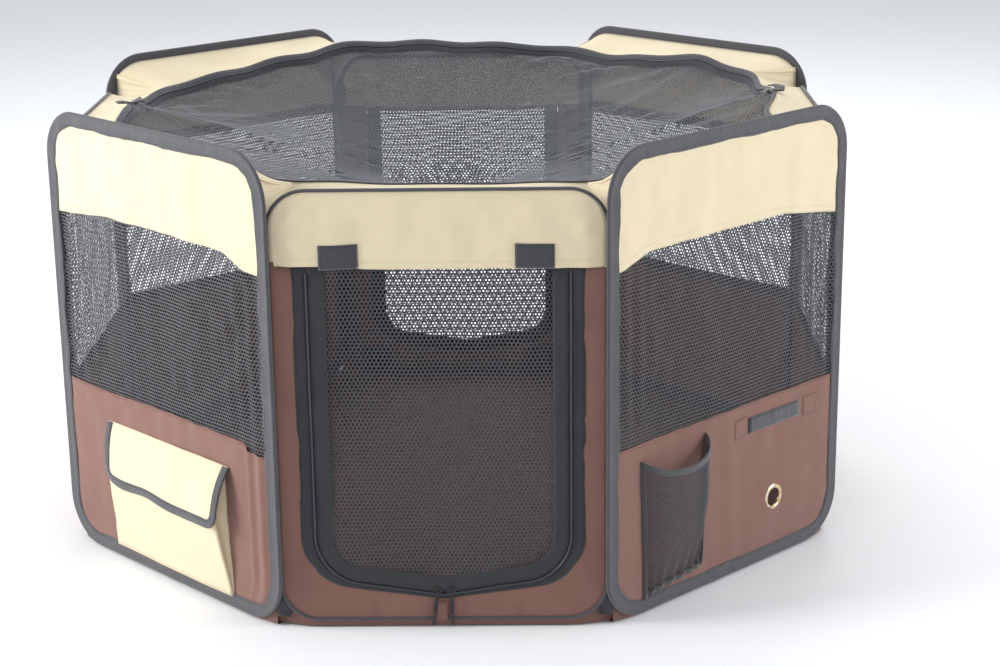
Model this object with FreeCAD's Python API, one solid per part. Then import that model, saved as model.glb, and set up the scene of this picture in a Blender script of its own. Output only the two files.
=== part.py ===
import FreeCAD, Part
import math
import os

os.makedirs("parts", exist_ok=True)

# A soft eight-sided playpen. Eight cloth walls stand in a ring and fold like an accordion.
# Four diagonal walls are bound in wide tape, which stands past the corner seams as fins.
# The front, left, back and right walls are a little smaller and are edged with thin piping.
# A spring steel wire loop runs round the edge of every wall.
# Frame: +Z up, the origin on the ground in the middle, the front door on the -Y side.

Vec = FreeCAD.Vector

# Driving dimensions, in mm.
SIDE = 430.0                # one wall, from corner seam to corner seam
WALLS = 8
HEIGHT = 610.0              # top of the bound walls
BOUND_FOOT = 2.0            # the walls stand this far up, clear of the floor sheet
FIN = 18.0                  # how far the bound edge stands past a corner seam
BOUND_RADIUS = 65.0
BOUND_WIDTH = 20.0          # the tape's width on each face of the wall
BOUND_THICK = 5.2
PIPED_TOP = 565.0
PIPED_FOOT = 9.0
PIPED_RADIUS = 50.0
PIPED_GAP = 8.5             # from a corner seam to the side of the piping
PIPING_WIDTH = 6.0
PIPING_THICK = 5.6
WIRE_D = 3.2
WIRE_CHANNEL = 3.6          # room for the wire inside the binding or the piping
SKIN = 1.0                  # cloth outside the wire
CLOTH = 1.0
BAND_FOOT = 462.0           # lower edge of the light top band on most walls
DOOR_BAND_FOOT = 466.0      # and on the two walls with a door
LOWER_TOP = 235.0           # upper edge of the dark lower panel

# The U-shaped door: tape round a net, its bottom edge in a shallow V.
DOOR_HALF = 158.0
DOOR_APEX_Z = 45.0
DOOR_RADIUS = 62.0
DOOR_SLOPE = 0.15
DOOR_GAP = 2.4              # between the door and its wall, where the zip's teeth mesh
DOOR_TOP_GAP = 0.6
NET_HALF = 138.0
NET_APEX_Z = 65.0
NET_RADIUS = 42.0
APEX_RADIUS = 30.0
TAPE_THICK = 2.0

# Zip sliders and their pull tabs, on the slopes of the door's V.
SLIDER_X = 9.0
SLIDER_LENGTH = 12.0
SLIDER_PLATE = 1.6
SLIDER_CLEAR = 0.35
SLIDER_REACH = 8.0          # plate's depth over the tape
BRIDGE = 1.4
BAR_D = 1.2
BAR_OUT = 2.2               # from the slider's face to the middle of the bail's bar
KNUCKLE_D = 3.6
PULL_WIDTH = 5.0
PULL_LENGTH = 43.0
PULL_THICK = 1.2

# Things on the walls. Across is measured from the middle of the wall, seen from outside.
STRAP = dict(across=(-141.0, 96.0), width=44.0, foot=466.6, height=30.0, thick=1.6)
POCKET = dict(left=-123.0, right=134.0, foot=22.5, mouth=186.0, deep_foot=4.0, deep_mouth=25.0)
FLAP = dict(over=4.5, hinge_z=196.0, foot=117.0, clear=1.0, thick=1.2)
BOTTLE = dict(left=-172.0, right=-48.0, foot=32.0, mouth=203.0, bulge=35.0, skin=1.2)
EYELET = dict(across=94.0, z=88.0, bore_d=24.0, barrel_d=27.0, flange_d=38.0, flange=1.6)
HOLD_PAD = dict(left=39.0, right=145.0, foot=192.0, top=213.0, thick=1.6)
HOLD_TABS = ((10.0, 37.0), (152.0, 183.0))
HOLD_TAB_Z = (188.0, 216.0)
HOLD_TAB_THICK = 1.0

# Floor, collar and zip-off cover.
FLOOR_APOTHEM = 515.0
FLOOR_THICK = 1.2
COLLAR_APOTHEM = 514.0
COLLAR_FOOT = 560.0
COLLAR_TOP = 575.0
COVER_APOTHEM = 446.5
COVER_TAPE = 12.0
COVER_GAP = 0.5

APOTHEM = SIDE * (1 + math.sqrt(2)) / 2
BOUND_HALF = SIDE / 2 + FIN
PIPED_HALF = SIDE / 2 - PIPED_GAP
# Which way each wall faces, in degrees from +X, with the front facing -Y.
FACING = {"front": -90, "front_left": -135, "left": 180, "back_left": 135,
          "back": 90, "back_right": 45, "right": 0, "front_right": -45}
BOUND_WALLS = ("front_left", "back_left", "back_right", "front_right")
DOOR_WALLS = ("front", "back")

nodes = {}


# ---- shapes in a wall's own frame: X across, -Y out of the pen, Z up, Y = 0 mid-cloth ----

def outline(corners):
    """A closed wire through corners (x, z, radius), in the plane of the wall."""
    bends = []
    count = len(corners)
    for i, (x, z, radius) in enumerate(corners):
        here = Vec(x, 0, z)
        before = (Vec(corners[i - 1][0], 0, corners[i - 1][1]) - here).normalize()
        after = (Vec(corners[(i + 1) % count][0], 0, corners[(i + 1) % count][1]) - here).normalize()
        half = before.getAngle(after) / 2
        run = radius / math.tan(half)
        inward = (before + after).normalize()
        middle = here + inward * (radius / math.sin(half) - radius)
        bends.append((here + before * run, middle, here + after * run, radius))
    edges = []
    for i, (start, middle, stop, radius) in enumerate(bends):
        if radius > 0:
            edges.append(Part.Arc(start, middle, stop).toShape())
        following = bends[(i + 1) % count][0]
        if stop.distanceToPoint(following) > 1e-4:
            edges.append(Part.LineSegment(stop, following).toShape())
    return Part.Wire(edges)


def slab(wire, near, far):
    """The outline as a plate, from Y = near to Y = far."""
    face = Part.Face(wire)
    face.translate(Vec(0, near, 0))
    return face.extrude(Vec(0, far - near, 0))


def block(x0, x1, y0, y1, z0, z1):
    return Part.makeBox(x1 - x0, y1 - y0, z1 - z0, Vec(x0, y0, z0))


def rod(diameter, length, start, along):
    return Part.makeCylinder(diameter / 2, length, start, along)


def wall_outline(half, foot, top, radius, inset=0.0):
    """A wall's rounded rectangle, drawn in by inset all round."""
    wide = half - inset
    low = foot + inset
    high = top - inset
    bend = radius - inset
    return outline([(-wide, low, bend), (wide, low, bend), (wide, high, bend), (-wide, high, bend)])


def edging(size, width, thick):
    """Folded tape round a wall: a channel for the wire, then a slot that grips the cloth."""
    ring = slab(wall_outline(*size), -thick / 2, thick / 2)
    ring = ring.cut(slab(wall_outline(*size, inset=width), -thick, thick))
    room = slab(wall_outline(*size, inset=SKIN), -WIRE_CHANNEL / 2, WIRE_CHANNEL / 2)
    room = room.cut(slab(wall_outline(*size, inset=SKIN + WIRE_CHANNEL), -thick, thick))
    grip = slab(wall_outline(*size, inset=SKIN + WIRE_CHANNEL / 2), -CLOTH / 2, CLOTH / 2)
    return ring.cut(room).cut(grip)


def wire_loop(size):
    """Round spring wire bent to the wall's outline and closed on itself."""
    path = wall_outline(*size, inset=SKIN + WIRE_CHANNEL / 2)
    edge = path.Edges[0]
    start = edge.valueAt(edge.FirstParameter)
    along = edge.tangentAt(edge.FirstParameter)
    section = Part.Wire(Part.makeCircle(WIRE_D / 2, start, along))
    return path.makePipeShell([section], True, False)


def cloth(size, low, high):
    """The wall's cloth between two heights, with its edge inside the folded tape."""
    sheet = slab(wall_outline(*size, inset=SKIN + WIRE_CHANNEL), -CLOTH / 2, CLOTH / 2)
    return sheet.common(block(-SIDE, SIDE, -CLOTH, CLOTH, low, high))


def door_outline(half, apex_z, radius, top):
    """The door's U: straight sides, round corners and a shallow V along the bottom."""
    side_z = apex_z + half * DOOR_SLOPE
    return outline([(-half, top, 0), (-half, side_z, radius), (0, apex_z, APEX_RADIUS),
                    (half, side_z, radius), (half, top, 0)])


def profile_prism(points, x0, x1):
    """A prism across the wall from a (y, z) profile."""
    wire = Part.makePolygon([Vec(x0, y, z) for y, z in points + points[:1]])
    return Part.Face(wire).extrude(Vec(x1 - x0, 0, 0))


def add(node, wall, solids):
    """Puts solids from a wall's own frame into the pen's frame, as one node."""
    facing = FACING[wall]
    out = Vec(math.cos(math.radians(facing)), math.sin(math.radians(facing)), 0)
    placed = FreeCAD.Placement(out * APOTHEM, FreeCAD.Rotation(Vec(0, 0, 1), facing + 90))
    made = []
    for solid in solids:
        moved = solid.copy()
        moved.Placement = placed.multiply(moved.Placement)
        made.append(moved)
    nodes[node] = made


# ---- walls ----

BOUND_SIZE = (BOUND_HALF, BOUND_FOOT, HEIGHT, BOUND_RADIUS)
PIPED_SIZE = (PIPED_HALF, PIPED_FOOT, PIPED_TOP, PIPED_RADIUS)


def window_wall(wall, size, edging_name, width, thick, lower_holes=()):
    """A wall with a light band, a net window and a dark lower panel."""
    foot, top = size[1], size[2]
    lower = cloth(size, foot, LOWER_TOP)
    for hole in lower_holes:
        lower = lower.cut(hole)
    add(wall + "_wire", wall, [wire_loop(size)])
    add(wall + "_" + edging_name, wall, [edging(size, width, thick)])
    add(wall + "_band", wall, [cloth(size, BAND_FOOT, top)])
    add(wall + "_window_net", wall, [cloth(size, LOWER_TOP, BAND_FOOT)])
    add(wall + "_lower_panel", wall, [lower])


def door_wall(wall):
    """A wall whose band hangs over a doorway, with dark cloth round the doorway."""
    doorway = door_outline(DOOR_HALF + DOOR_GAP, DOOR_APEX_Z - DOOR_GAP,
                           DOOR_RADIUS + DOOR_GAP, DOOR_BAND_FOOT)
    surround = cloth(PIPED_SIZE, PIPED_FOOT, DOOR_BAND_FOOT)
    surround = surround.cut(slab(doorway, -PIPING_THICK, PIPING_THICK))
    add(wall + "_wire", wall, [wire_loop(PIPED_SIZE)])
    add(wall + "_piping", wall, [edging(PIPED_SIZE, PIPING_WIDTH, PIPING_THICK)])
    add(wall + "_band", wall, [cloth(PIPED_SIZE, DOOR_BAND_FOOT, PIPED_TOP)])
    add(wall + "_surround", wall, [surround])


def door(wall):
    """Zip tape and net, hung from the lower edge of the band."""
    top = DOOR_BAND_FOOT - DOOR_TOP_GAP
    whole = door_outline(DOOR_HALF, DOOR_APEX_Z, DOOR_RADIUS, top)
    opening = door_outline(NET_HALF, NET_APEX_Z, NET_RADIUS, top)
    tape = slab(whole, -TAPE_THICK / 2, TAPE_THICK / 2)
    tape = tape.cut(slab(opening, -TAPE_THICK, TAPE_THICK))
    add(wall + "_door_tape", wall, [tape])
    add(wall + "_door_net", wall, [slab(opening, -CLOTH / 2, CLOTH / 2)])


def slider_and_pull(wall, side_name, side):
    """A slider round the edge of the door's tape, and a tab that hangs from its bail."""
    edge_z = DOOR_APEX_Z + SLIDER_X * DOOR_SLOPE
    face = TAPE_THICK / 2 + SLIDER_CLEAR
    half = SLIDER_LENGTH / 2
    low = edge_z - DOOR_GAP / 2 - BRIDGE / 2 - SLIDER_CLEAR
    high = edge_z + SLIDER_REACH
    body = block(-half, half, -face - SLIDER_PLATE, face + SLIDER_PLATE, low, high)
    body = body.cut(block(-half, half, -face, face, low + BRIDGE, high))
    bar_y = -face - SLIDER_PLATE - BAR_OUT
    bar_z = (low + high) / 2
    leg_x = PULL_WIDTH / 2 + BAR_D
    bail = rod(BAR_D, 2 * leg_x, Vec(-leg_x, bar_y, bar_z), Vec(1, 0, 0))
    for x in (-leg_x + BAR_D / 2, leg_x - BAR_D / 2):
        leg = rod(BAR_D, BAR_OUT + SLIDER_PLATE / 2, Vec(x, bar_y, bar_z), Vec(0, 1, 0))
        bail = bail.fuse(leg)
    body = body.fuse(bail)
    lean = math.degrees(math.atan(DOOR_SLOPE)) * -side
    middle = Vec(0, 0, edge_z)
    body.rotate(middle, Vec(0, 1, 0), lean)
    body.translate(Vec(side * SLIDER_X, 0, 0))

    pull_half = PULL_WIDTH / 2 - SLIDER_CLEAR
    knuckle = rod(KNUCKLE_D, 2 * pull_half, Vec(-pull_half, bar_y, bar_z), Vec(1, 0, 0))
    tab = block(-pull_half, pull_half, bar_y - PULL_THICK / 2, bar_y + PULL_THICK / 2,
                bar_z - PULL_LENGTH, bar_z)
    hole = rod(BAR_D + 2 * SLIDER_CLEAR, PULL_WIDTH, Vec(-PULL_WIDTH / 2, bar_y, bar_z), Vec(1, 0, 0))
    pull = knuckle.fuse(tab).cut(hole)
    pull.rotate(middle, Vec(0, 1, 0), lean)
    pull.rotate(bar_middle(side), Vec(0, 1, 0), -lean)
    pull.translate(Vec(side * SLIDER_X, 0, 0))
    add(wall + "_slider_" + side_name, wall, [body])
    add(wall + "_pull_" + side_name, wall, [pull])


def bar_middle(side):
    """Where the middle of a bail's bar stands once the slider leans with the slope."""
    edge_z = DOOR_APEX_Z + SLIDER_X * DOOR_SLOPE
    low = edge_z - DOOR_GAP / 2 - BRIDGE / 2 - SLIDER_CLEAR
    up = (low + edge_z + SLIDER_REACH) / 2 - edge_z
    lean = math.atan(DOOR_SLOPE) * -side
    bar_y = -(TAPE_THICK / 2 + SLIDER_CLEAR + SLIDER_PLATE + BAR_OUT)
    return Vec(up * math.sin(lean), bar_y, edge_z + up * math.cos(lean))


for name in ("left", "right"):
    window_wall(name, PIPED_SIZE, "piping", PIPING_WIDTH, PIPING_THICK)
eyelet_axis = Vec(0, 1, 0)
eyelet_hole = rod(EYELET["barrel_d"], 2 * BOUND_THICK,
                  Vec(EYELET["across"], -BOUND_THICK, EYELET["z"]), eyelet_axis)
for name in BOUND_WALLS:
    holes = [eyelet_hole] if name == "front_right" else []
    window_wall(name, BOUND_SIZE, "binding", BOUND_WIDTH, BOUND_THICK, holes)
for name in DOOR_WALLS:
    door_wall(name)
    door(name)
    slider_and_pull(name, "left", -1)
    slider_and_pull(name, "right", 1)


# ---- things sewn or set on the walls ----

front_face = -CLOTH / 2
straps = [block(x, x + STRAP["width"], front_face - STRAP["thick"], front_face,
                STRAP["foot"], STRAP["foot"] + STRAP["height"]) for x in STRAP["across"]]
add("front_strap_pads", "front", straps)


def storage_pocket():
    """A wedge of cloth, open at the top, sewn to the wall along its sides and foot."""
    foot, mouth = POCKET["foot"], POCKET["mouth"]
    shallow, deep = POCKET["deep_foot"], POCKET["deep_mouth"]
    outer = [(front_face, foot), (front_face - shallow, foot),
             (front_face - deep, mouth), (front_face, mouth)]
    past = mouth + FLAP["over"]
    inner = [(front_face, foot + CLOTH), (front_face - shallow + CLOTH, foot + CLOTH),
             (front_face - deep + CLOTH, past), (front_face, past)]
    shell = profile_prism(outer, POCKET["left"], POCKET["right"])
    return shell.cut(profile_prism(inner, POCKET["left"] + CLOTH, POCKET["right"] - CLOTH))


def storage_flap():
    """A flap that slopes out over the pocket's mouth and hangs down its face."""
    foot, mouth = POCKET["foot"], POCKET["mouth"]
    slope = (POCKET["deep_mouth"] - POCKET["deep_foot"]) / (mouth - foot)

    def face_y(z, clear):
        return front_face - POCKET["deep_foot"] - slope * (z - foot) - clear

    near, far = FLAP["clear"], FLAP["clear"] + FLAP["thick"]
    root_y = front_face - FLAP["clear"] / 2
    points = [(root_y, FLAP["hinge_z"]), (face_y(mouth, far), mouth + far),
              (face_y(FLAP["foot"], far), FLAP["foot"]), (face_y(FLAP["foot"], near), FLAP["foot"]),
              (face_y(mouth, near), mouth + near), (root_y, FLAP["hinge_z"] - FLAP["thick"])]
    return profile_prism(points, POCKET["left"] - FLAP["over"], POCKET["right"] + FLAP["over"])


add("storage_pocket", "front_left", [storage_pocket()])
add("storage_flap", "front_left", [storage_flap()])


def bulge(chord_left, chord_right, deep, low, high):
    """An upright solid between the wall and an arc that stands out from it."""
    left = Vec(chord_left, front_face, low)
    right = Vec(chord_right, front_face, low)
    crown = Vec((chord_left + chord_right) / 2, front_face - deep, low)
    rim = Part.Wire([Part.Arc(left, crown, right).toShape(), Part.LineSegment(right, left).toShape()])
    return Part.Face(rim).extrude(Vec(0, 0, high - low))


skin = BOTTLE["skin"]
pouch = bulge(BOTTLE["left"], BOTTLE["right"], BOTTLE["bulge"], BOTTLE["foot"], BOTTLE["mouth"])
hollow = bulge(BOTTLE["left"] + 2 * skin, BOTTLE["right"] - 2 * skin, BOTTLE["bulge"] - skin,
               BOTTLE["foot"] + skin, BOTTLE["mouth"] + skin)
add("bottle_pocket", "front_right", [pouch.cut(hollow)])

centre = Vec(EYELET["across"], 0, EYELET["z"])
half_grip = CLOTH / 2
flange = EYELET["flange"]
eyelet = rod(EYELET["barrel_d"], CLOTH + 2 * flange, centre - eyelet_axis * (half_grip + flange), eyelet_axis)
for start in (-half_grip - flange, half_grip):
    eyelet = eyelet.fuse(rod(EYELET["flange_d"], flange, centre + eyelet_axis * start, eyelet_axis))
eyelet = eyelet.cut(rod(EYELET["bore_d"], BOUND_THICK, centre - eyelet_axis * (BOUND_THICK / 2), eyelet_axis))
add("eyelet", "front_right", [eyelet.removeSplitter()])

pad = block(HOLD_PAD["left"], HOLD_PAD["right"], front_face - HOLD_PAD["thick"], front_face,
            HOLD_PAD["foot"], HOLD_PAD["top"])
tabs = [block(left, right, front_face - HOLD_TAB_THICK, front_face, *HOLD_TAB_Z)
        for left, right in HOLD_TABS]
add("bottle_strap", "front_right", [pad] + tabs)


# ---- floor, collar and cover ----

def octagon(apothem, z):
    """A flat octagon with a side facing each of the eight walls."""
    reach = apothem / math.cos(math.pi / WALLS)
    turns = [math.radians(22.5 + 45 * i) for i in range(WALLS)]
    points = [Vec(reach * math.cos(a), reach * math.sin(a), z) for a in turns]
    return Part.makePolygon(points + points[:1])


def plate(apothem, z, thick):
    return Part.Face(octagon(apothem, z)).extrude(Vec(0, 0, thick))


nodes["floor_sheet"] = [plate(FLOOR_APOTHEM, 0, FLOOR_THICK)]

slope_solid = Part.makeLoft([octagon(COLLAR_APOTHEM, COLLAR_FOOT),
                             octagon(COVER_APOTHEM + COVER_GAP, COLLAR_TOP)], True, True)
lowered = slope_solid.copy()
lowered.translate(Vec(0, 0, -FLOOR_THICK))
collar = slope_solid.cut(lowered).cut(plate(COVER_APOTHEM + COVER_GAP, COLLAR_FOOT, 2 * COVER_TAPE))
nodes["collar"] = [collar.cut(plate(APOTHEM, COLLAR_FOOT - FLOOR_THICK, FLOOR_THICK))]

cover_z = COLLAR_TOP - FLOOR_THICK
inside = COVER_APOTHEM - COVER_TAPE
cover_tape = plate(COVER_APOTHEM, cover_z, FLOOR_THICK).cut(plate(inside, 0, HEIGHT))
nodes["cover_tape"] = [cover_tape]
nodes["cover_net"] = [plate(inside, cover_z, CLOTH)]


# ---- write one file per node ----

for node, solids in sorted(nodes.items()):
    whole = solids[0] if len(solids) == 1 else Part.makeCompound(solids)
    bad = [s for s in whole.Solids if not s.isValid()]
    print(node, "solids", len(whole.Solids), "volume", round(whole.Volume / 1000, 2), "cm3",
          "BAD" if bad or not whole.Solids else "")
    whole.exportStep("parts/" + node + ".step")
print(len(nodes), "nodes; hinges of the fold, in mm:")


def corner(index):
    """The seam between wall number index and the next one round, clockwise from the front."""
    reach = APOTHEM / math.cos(math.pi / WALLS)
    turn = math.radians(-112.5 - 45 * index)
    return Vec(reach * math.cos(turn), reach * math.sin(turn), 0)


HINGE_INSET = 6.0
order = list(FACING)
for index in range(WALLS):
    here, following = order[index], order[(index + 1) % WALLS]
    seam = corner(index)
    if index % 2 == 0:
        hinge = seam - Vec(seam).normalize() * HINGE_INSET
    else:
        bound = here if here in BOUND_WALLS else following
        facing = math.radians(FACING[bound])
        middle = Vec(math.cos(facing), math.sin(facing), 0) * APOTHEM
        hinge = seam + (seam - middle).normalize() * FIN
    print(here, "-", following, round(hinge.x, 3), round(hinge.y, 3))
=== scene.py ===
# %% [markdown]
# A soft eight-sided playpen for small animals. Eight cloth walls stand in a ring, and each
# wall is stiffened by a loop of spring wire that runs in a hem all round its edge.
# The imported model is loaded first, as a fixed frame. Every cloth piece is then built in
# metres around it, so nothing has to be fitted by eye afterwards.
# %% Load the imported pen
import math

import bpy
import numpy as np
from mathutils import Matrix, Vector


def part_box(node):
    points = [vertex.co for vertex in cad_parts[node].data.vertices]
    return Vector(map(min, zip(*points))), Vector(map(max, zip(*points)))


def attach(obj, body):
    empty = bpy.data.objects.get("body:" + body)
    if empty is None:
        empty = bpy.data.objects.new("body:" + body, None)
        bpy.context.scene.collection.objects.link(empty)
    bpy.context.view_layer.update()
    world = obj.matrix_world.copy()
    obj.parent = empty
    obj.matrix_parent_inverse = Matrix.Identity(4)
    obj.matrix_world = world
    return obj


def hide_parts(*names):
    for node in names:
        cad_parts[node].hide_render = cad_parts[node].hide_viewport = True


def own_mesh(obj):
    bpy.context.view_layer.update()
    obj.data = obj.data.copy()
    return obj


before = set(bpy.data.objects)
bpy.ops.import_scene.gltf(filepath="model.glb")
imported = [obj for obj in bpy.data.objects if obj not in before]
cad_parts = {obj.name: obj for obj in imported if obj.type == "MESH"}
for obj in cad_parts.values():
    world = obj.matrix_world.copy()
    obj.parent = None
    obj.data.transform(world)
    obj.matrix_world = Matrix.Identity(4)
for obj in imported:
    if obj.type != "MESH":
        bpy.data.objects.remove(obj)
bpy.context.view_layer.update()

# %% [markdown]
# Each wall is flat, so it is easiest to sew it on a flat table and then stand it up.
# The table has three directions: across the wall, out of the pen, and up. One function
# turns table points into the pen's own frame, and another measures a solid on its table.
# %% Stand every wall in its place
FACING = {"front": -90, "front_left": -135, "left": 180, "back_left": 135,
          "back": 90, "back_right": 45, "right": 0, "front_right": -45}
BOUND_WALLS = ("front_left", "back_left", "back_right", "front_right")
DOOR_WALLS = ("front", "back")
band_low, band_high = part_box("front_band")
APOTHEM = -(band_low.y + band_high.y) / 2
SIDE = 2 * APOTHEM * math.tan(math.pi / 8)


def directions(wall):
    """The wall's across and out directions, as seen by someone standing outside."""
    turn = math.radians(FACING[wall])
    return np.array([-math.sin(turn), math.cos(turn), 0.0]), np.array([math.cos(turn), math.sin(turn), 0.0])


def place(wall, points):
    """Turns (across, out, up) on the wall's table into the pen's frame."""
    points = np.asarray(points, float).reshape(-1, 3)
    across, out = directions(wall)
    spots = points[:, :1] * across + (APOTHEM + points[:, 1:2]) * out
    spots[:, 2] += points[:, 2]
    return spots


def wall_box(node, wall):
    """Lowest and highest (across, out, up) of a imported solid, on its wall's table."""
    spots = np.array([v.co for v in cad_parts[node].data.vertices])
    across, out = directions(wall)
    local = np.column_stack([spots @ across, spots @ out - APOTHEM, spots[:, 2]])
    return local.min(0), local.max(0)


def is_bound(wall):
    return wall in BOUND_WALLS


def edging_node(wall):
    return wall + ("_binding" if is_bound(wall) else "_piping")


WALL_SIZE = {}
for wall in FACING:
    lowest, highest = wall_box(edging_node(wall), wall)
    radius = 0.065 if is_bound(wall) else 0.050
    WALL_SIZE[wall] = (highest[0], lowest[2], highest[2], radius)
print("apothem", round(APOTHEM, 4), "side", round(SIDE, 4), "walls", WALL_SIZE["front"], WALL_SIZE["left"])

# %% [markdown]
# The camera stands about three metres in front of the pen and looks down a little, as a
# person would. The lens is long, so the octagon keeps its true proportions.
# %% Camera
LENS_MM = 75.25
SENSOR_MM = 36.0
EYE = (0.1085, -2.9386, 1.1007)
PITCH, YAW, ROLL = (math.radians(angle) for angle in (16.480, 0.830, -0.697))

forward = Vector((-math.sin(YAW) * math.cos(PITCH), math.cos(YAW) * math.cos(PITCH), -math.sin(PITCH)))
level_up = Vector((-math.sin(YAW) * math.sin(PITCH), math.cos(YAW) * math.sin(PITCH), math.cos(PITCH)))
level_right = Vector((math.cos(YAW), math.sin(YAW), 0))
right = math.cos(ROLL) * level_right + math.sin(ROLL) * level_up
up = -math.sin(ROLL) * level_right + math.cos(ROLL) * level_up
camera_data = bpy.data.cameras.new("camera")
camera_data.lens = LENS_MM
camera_data.sensor_width = SENSOR_MM
camera = bpy.data.objects.new("camera", camera_data)
bpy.context.scene.collection.objects.link(camera)
camera.matrix_world = Matrix([[right[i], up[i], -forward[i], EYE[i]] for i in range(3)] + [[0, 0, 0, 1]])
bpy.context.scene.camera = camera
print("camera at", EYE, "lens", LENS_MM)

# %% [markdown]
# Soft light shows cloth best. A large lamp stands high on the left, a weaker one on the
# right, and a bright sky fills the shadows. The floor is a plain pale sheet of paper.
# %% Light and floor
def softbox(name, where, aim, size, watts):
    """A square lamp that points from where to aim."""
    data = bpy.data.lights.new(name, "AREA")
    data.shape = "SQUARE"
    data.size = size
    data.energy = watts
    lamp = bpy.data.objects.new(name, data)
    bpy.context.scene.collection.objects.link(lamp)
    lamp.location = where
    lamp.rotation_euler = (Vector(aim) - Vector(where)).to_track_quat("-Z", "Y").to_euler()
    return lamp


softbox("key_softbox", (-3.3, -0.95, 1.5), (0, 0, 0.35), 1.6, 120)
softbox("side_softbox", (3.3, -0.95, 1.5), (0, 0, 0.35), 1.8, 58)
softbox("back_softbox", (0.3, 2.4, 3.0), (0, 0.6, 0.3), 2.4, 52)
world = bpy.data.worlds.new("studio")
world.use_nodes = True
world.node_tree.nodes["Background"].inputs["Color"].default_value = (0.93, 0.95, 1.0, 1)
world.node_tree.nodes["Background"].inputs["Strength"].default_value = 0.70
bpy.context.scene.world = world
bpy.context.scene.view_settings.view_transform = "Standard"

# %% [markdown]
# Every finish is made of shader nodes. A small helper writes them, so that a finish reads
# as a recipe: which pattern, which strength, and which socket of the shader it feeds.
# %% A helper for writing shader nodes
def link(tree, source, target):
    """Joins an output to an input; a plain number or colour is set on the input instead."""
    if isinstance(source, bpy.types.NodeSocket):
        tree.links.new(source, target)
    else:
        target.default_value = source


def node(tree, kind, settings=None, **inputs):
    """Adds a shader node, with its settings and what feeds its inputs, by name or number."""
    made = tree.nodes.new("ShaderNode" + kind)
    for key, value in (settings or {}).items():
        setattr(made, key, value)
    for key, value in inputs.items():
        name = int(key[1:]) if key[0] == "i" and key[1:].isdigit() else key.replace("_", " ")
        link(tree, value, made.inputs[name])
    return made


def math_node(tree, operation, first, second=0.0):
    return node(tree, "Math", {"operation": operation}, i0=first, i1=second).outputs[0]


def mix_colour(tree, share, first, second):
    """The first colour where share is 0, the second where it is 1."""
    return node(tree, "Mix", {"data_type": "RGBA"}, i0=share, i6=first, i7=second).outputs[2]


def between(tree, value):
    """The value held between 0 and 1."""
    return math_node(tree, "MINIMUM", math_node(tree, "MAXIMUM", value, 0.0), 1.0)


def group(name, inputs, outputs, build):
    """A shader node group with named sockets; build(tree, inputs) returns its outputs."""
    tree = bpy.data.node_groups.new(name, "ShaderNodeTree")
    for label, kind, value in inputs:
        socket = tree.interface.new_socket(label, in_out="INPUT", socket_type="NodeSocket" + kind)
        if value is not None:
            socket.default_value = value
    for label, kind in outputs:
        tree.interface.new_socket(label, in_out="OUTPUT", socket_type="NodeSocket" + kind)
    start, end = tree.nodes.new("NodeGroupInput"), tree.nodes.new("NodeGroupOutput")
    made = build(tree, start.outputs)
    for label, _ in outputs:
        tree.links.new(made[label], end.inputs[label])
    return tree


def use(tree, shared, **inputs):
    """Places a shared node group in a material, with this material's own values."""
    made = tree.nodes.new("ShaderNodeGroup")
    made.node_tree = shared
    for key, value in inputs.items():
        link(tree, value, made.inputs[key.replace("_", " ")])
    return made.outputs


# %% [markdown]
# Woven polyester is threads that go over and under each other. Two sine patterns at right
# angles make the threads, and a checkerboard of their crossings decides which is on top.
# The group puts out a height for the bump and a mask for the gaps between the threads.
# %% Group: plain weave
def build_weave(tree, given):
    turns = math_node(tree, "DIVIDE", math.pi, given["Thread"])
    parts = node(tree, "SeparateXYZ", i0=given["Vector"])
    waves = []
    for axis in (0, 1):
        phase = math_node(tree, "MULTIPLY", parts.outputs[axis], turns)
        waves.append(math_node(tree, "SINE", phase))
    product = math_node(tree, "MULTIPLY", waves[0], waves[1])
    warp = math_node(tree, "ABSOLUTE", waves[0])
    weft = math_node(tree, "ABSOLUTE", waves[1])
    over = math_node(tree, "GREATER_THAN", product, 0.0)
    under = math_node(tree, "SUBTRACT", 1.0, over)
    height = math_node(tree, "ADD", math_node(tree, "MULTIPLY", warp, over),
                       math_node(tree, "MULTIPLY", weft, under))
    lowest = math_node(tree, "MINIMUM", warp, weft)
    gap = math_node(tree, "SUBTRACT", 1.0, math_node(tree, "MULTIPLY", lowest, 2.5))
    return {"Height": height, "Gap": math_node(tree, "MAXIMUM", gap, 0.0)}


WEAVE = group("plain_weave", [("Vector", "Vector", None), ("Thread", "Float", 0.0006)],
              [("Height", "Float"), ("Gap", "Float")], build_weave)

# %% [markdown]
# New cloth that has been folded away keeps soft creases. Two noises, one stretched along
# the cloth, give a height for the large soft folds and a tint for the cloudy dye.
# %% Group: creases and uneven dye
def build_crease(tree, given):
    wide = node(tree, "Mapping", Vector=given["Vector"], Scale=(1.0, 0.28, 1.0))
    folds = node(tree, "TexNoise", Vector=wide.outputs[0], Scale=given["Folds"], Detail=3.0, Roughness=0.55)
    cloud = node(tree, "TexNoise", Vector=given["Vector"], Scale=given["Clouds"], Detail=4.0, Roughness=0.6)
    grain = node(tree, "TexNoise", Vector=given["Vector"], Scale=900.0, Detail=1.0)
    soft = math_node(tree, "SUBTRACT", cloud.outputs[0], 0.5)
    fine = math_node(tree, "MULTIPLY", math_node(tree, "SUBTRACT", grain.outputs[0], 0.5), 0.5)
    tint = math_node(tree, "ADD", 0.5, math_node(tree, "ADD", soft, fine))
    return {"Height": folds.outputs[0], "Tint": between(tree, tint)}


CREASE = group("crease_and_dye",
               [("Vector", "Vector", None), ("Folds", "Float", 9.0), ("Clouds", "Float", 14.0)],
               [("Height", "Float"), ("Tint", "Float")], build_crease)

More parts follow.
